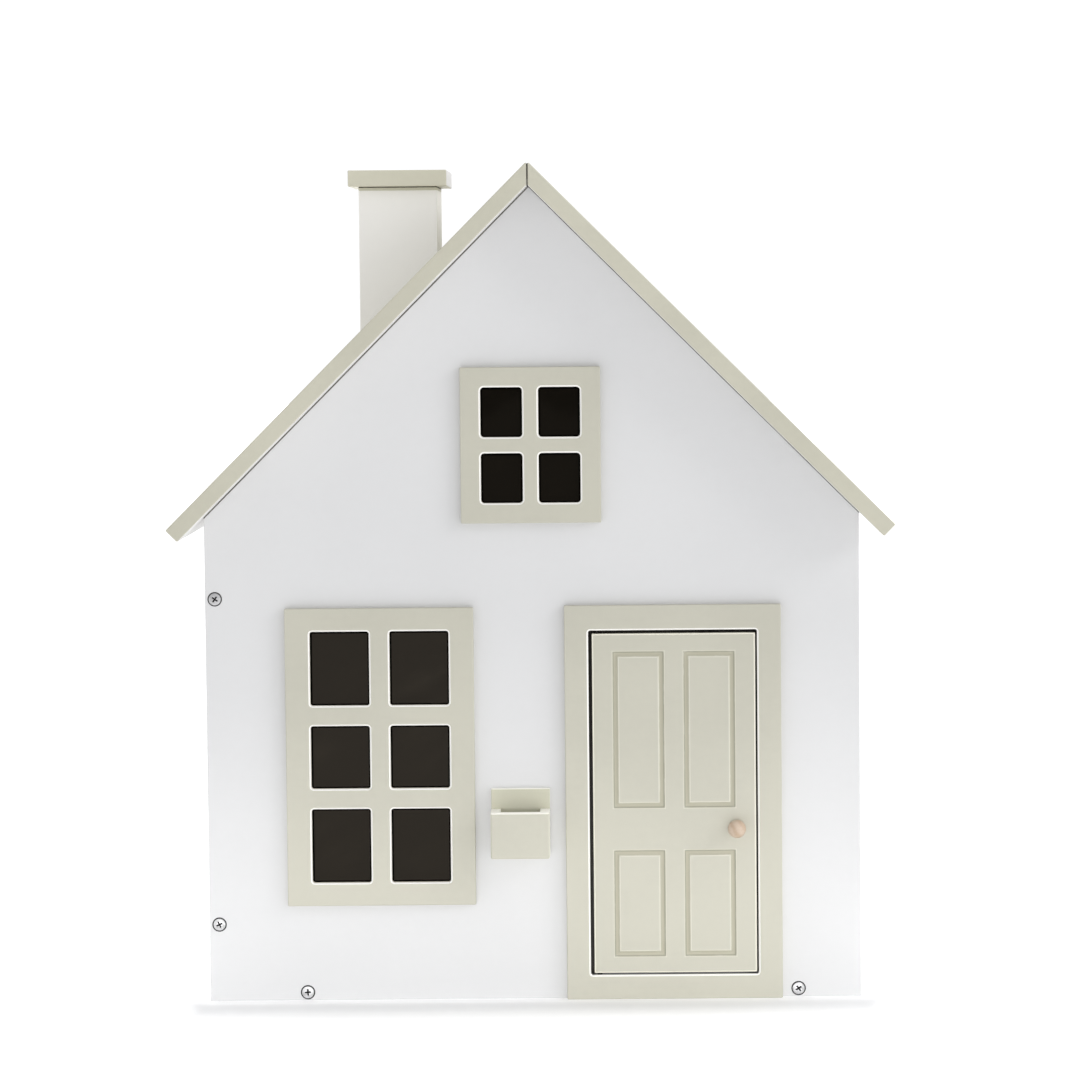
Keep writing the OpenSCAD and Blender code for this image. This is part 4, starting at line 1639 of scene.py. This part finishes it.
@dataclass
class Studio:
    """The pale floor, the soft light all round and the camera."""

    lens: float = 134.38
    shift: Range = (-0.07117, 0.0)
    eye: Triple = (65.4 * MM, -3029.6 * MM, 514.2 * MM)
    yaw: float = math.radians(-0.01)
    pitch: float = math.radians(3.66)
    roll: float = math.radians(-0.49)
    sensor: float = 36.0
    clip: Range = (0.05, 60.0)
    floor_side: float = 30.0
    ground: PaleGround = PaleGround("pale_ground", (0.90, 0.90, 0.905), 0.27)
    sky_colour: Triple = (0.985, 0.99, 1.0)
    sky_strength: float = 1.06
    front_light: float = 0.55
    front_fade: Range = (-0.9, 0.35)
    right_light: float = 0.45
    right_rise: Range = (0.15, 0.95)
    lamps: tuple[SoftBox, ...] = (
        SoftBox("side_box", (3.4, -1.6, 2.0), (0.0, 0.0, 0.25), (1.2, 1.2), 180.0, 26.0),
        SoftBox("low_box", (0.0, -2.3, 0.11), (0.0, 0.0, 0.0), (2.4, 0.18), 13.0, 0.56),
    )

    def camera(self) -> None:
        """Sets the camera: a long lens in front of the house, a little above its middle."""
        data = bpy.data.cameras.new("camera")
        data.sensor_width = self.sensor
        data.lens = self.lens
        data.shift_x, data.shift_y = self.shift
        data.clip_start, data.clip_end = self.clip
        down = Vector((0.0, math.cos(self.pitch), -math.sin(self.pitch)))
        forward = Matrix.Rotation(-self.yaw, 3, "Z") @ down
        level = Vector((math.cos(self.yaw), -math.sin(self.yaw), 0.0))
        above = level.cross(forward)
        right = level * math.cos(self.roll) + above * math.sin(self.roll)
        up = above * math.cos(self.roll) - level * math.sin(self.roll)
        made = bpy.data.objects.new("camera", data)
        made.matrix_world = Matrix.Translation(self.eye) @ Matrix((right, up, -forward)).transposed().to_4x4()
        bpy.context.scene.collection.objects.link(made)
        bpy.context.scene.camera = made

    def floor(self) -> None:
        """Lays the floor as a flat grid, wide enough to reach past every view."""
        side = np.linspace(-0.5, 0.5, 9) * self.floor_side
        x, y = np.meshgrid(side, side)
        plane = Shape.sheet(np.stack([x, y, np.zeros_like(x)], axis=-1), closed=False).mesh("pale_floor")
        plane.data.materials.append(self.ground.make())

    def sky(self) -> None:
        """Fills the world with soft light that is dimmer on the viewer's side and brighter on the right."""
        world = bpy.data.worlds.new("soft_room")
        world.use_nodes = True
        bpy.context.scene.world = world
        g = Graph(world.node_tree)
        x, y, _ = g.split(g.coordinates.outputs["Generated"])
        light = y.step(*self.front_fade) * (1.0 - self.front_light) + self.front_light
        strength = (light + x.step(*self.right_rise) * self.right_light) * self.sky_strength
        shader = g.node("ShaderNodeBackground", {}, {"Color": self.sky_colour, "Strength": strength})
        g.node("ShaderNodeOutputWorld", {}, {"Surface": shader.outputs[0]})

    def build(self) -> None:
        """Sets the camera, the floor and the light."""
        bpy.context.scene.view_settings.view_transform = "Standard"
        self.camera()
        self.floor()
        self.sky()
        for lamp in self.lamps:
            lamp.build()


def corners(box: Sequence[Any]) -> list[list[float]]:
    """Turns a box's corners into plain lists."""
    return [[float(v) for v in corner] for corner in box]


def main() -> None:
    """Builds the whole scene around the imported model."""
    logging.basicConfig(level=logging.INFO, format="%(name)s: %(message)s")
    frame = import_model()
    Studio().build()
    for assembly in (Walls, Roof, Chimney, Windows, FrontDoor, Letterbox, Fixings):
        assembly(frame["nodes"]).build()
        LOG.info("%s is built", assembly.__name__)


if __name__ == "__main__":
    main()
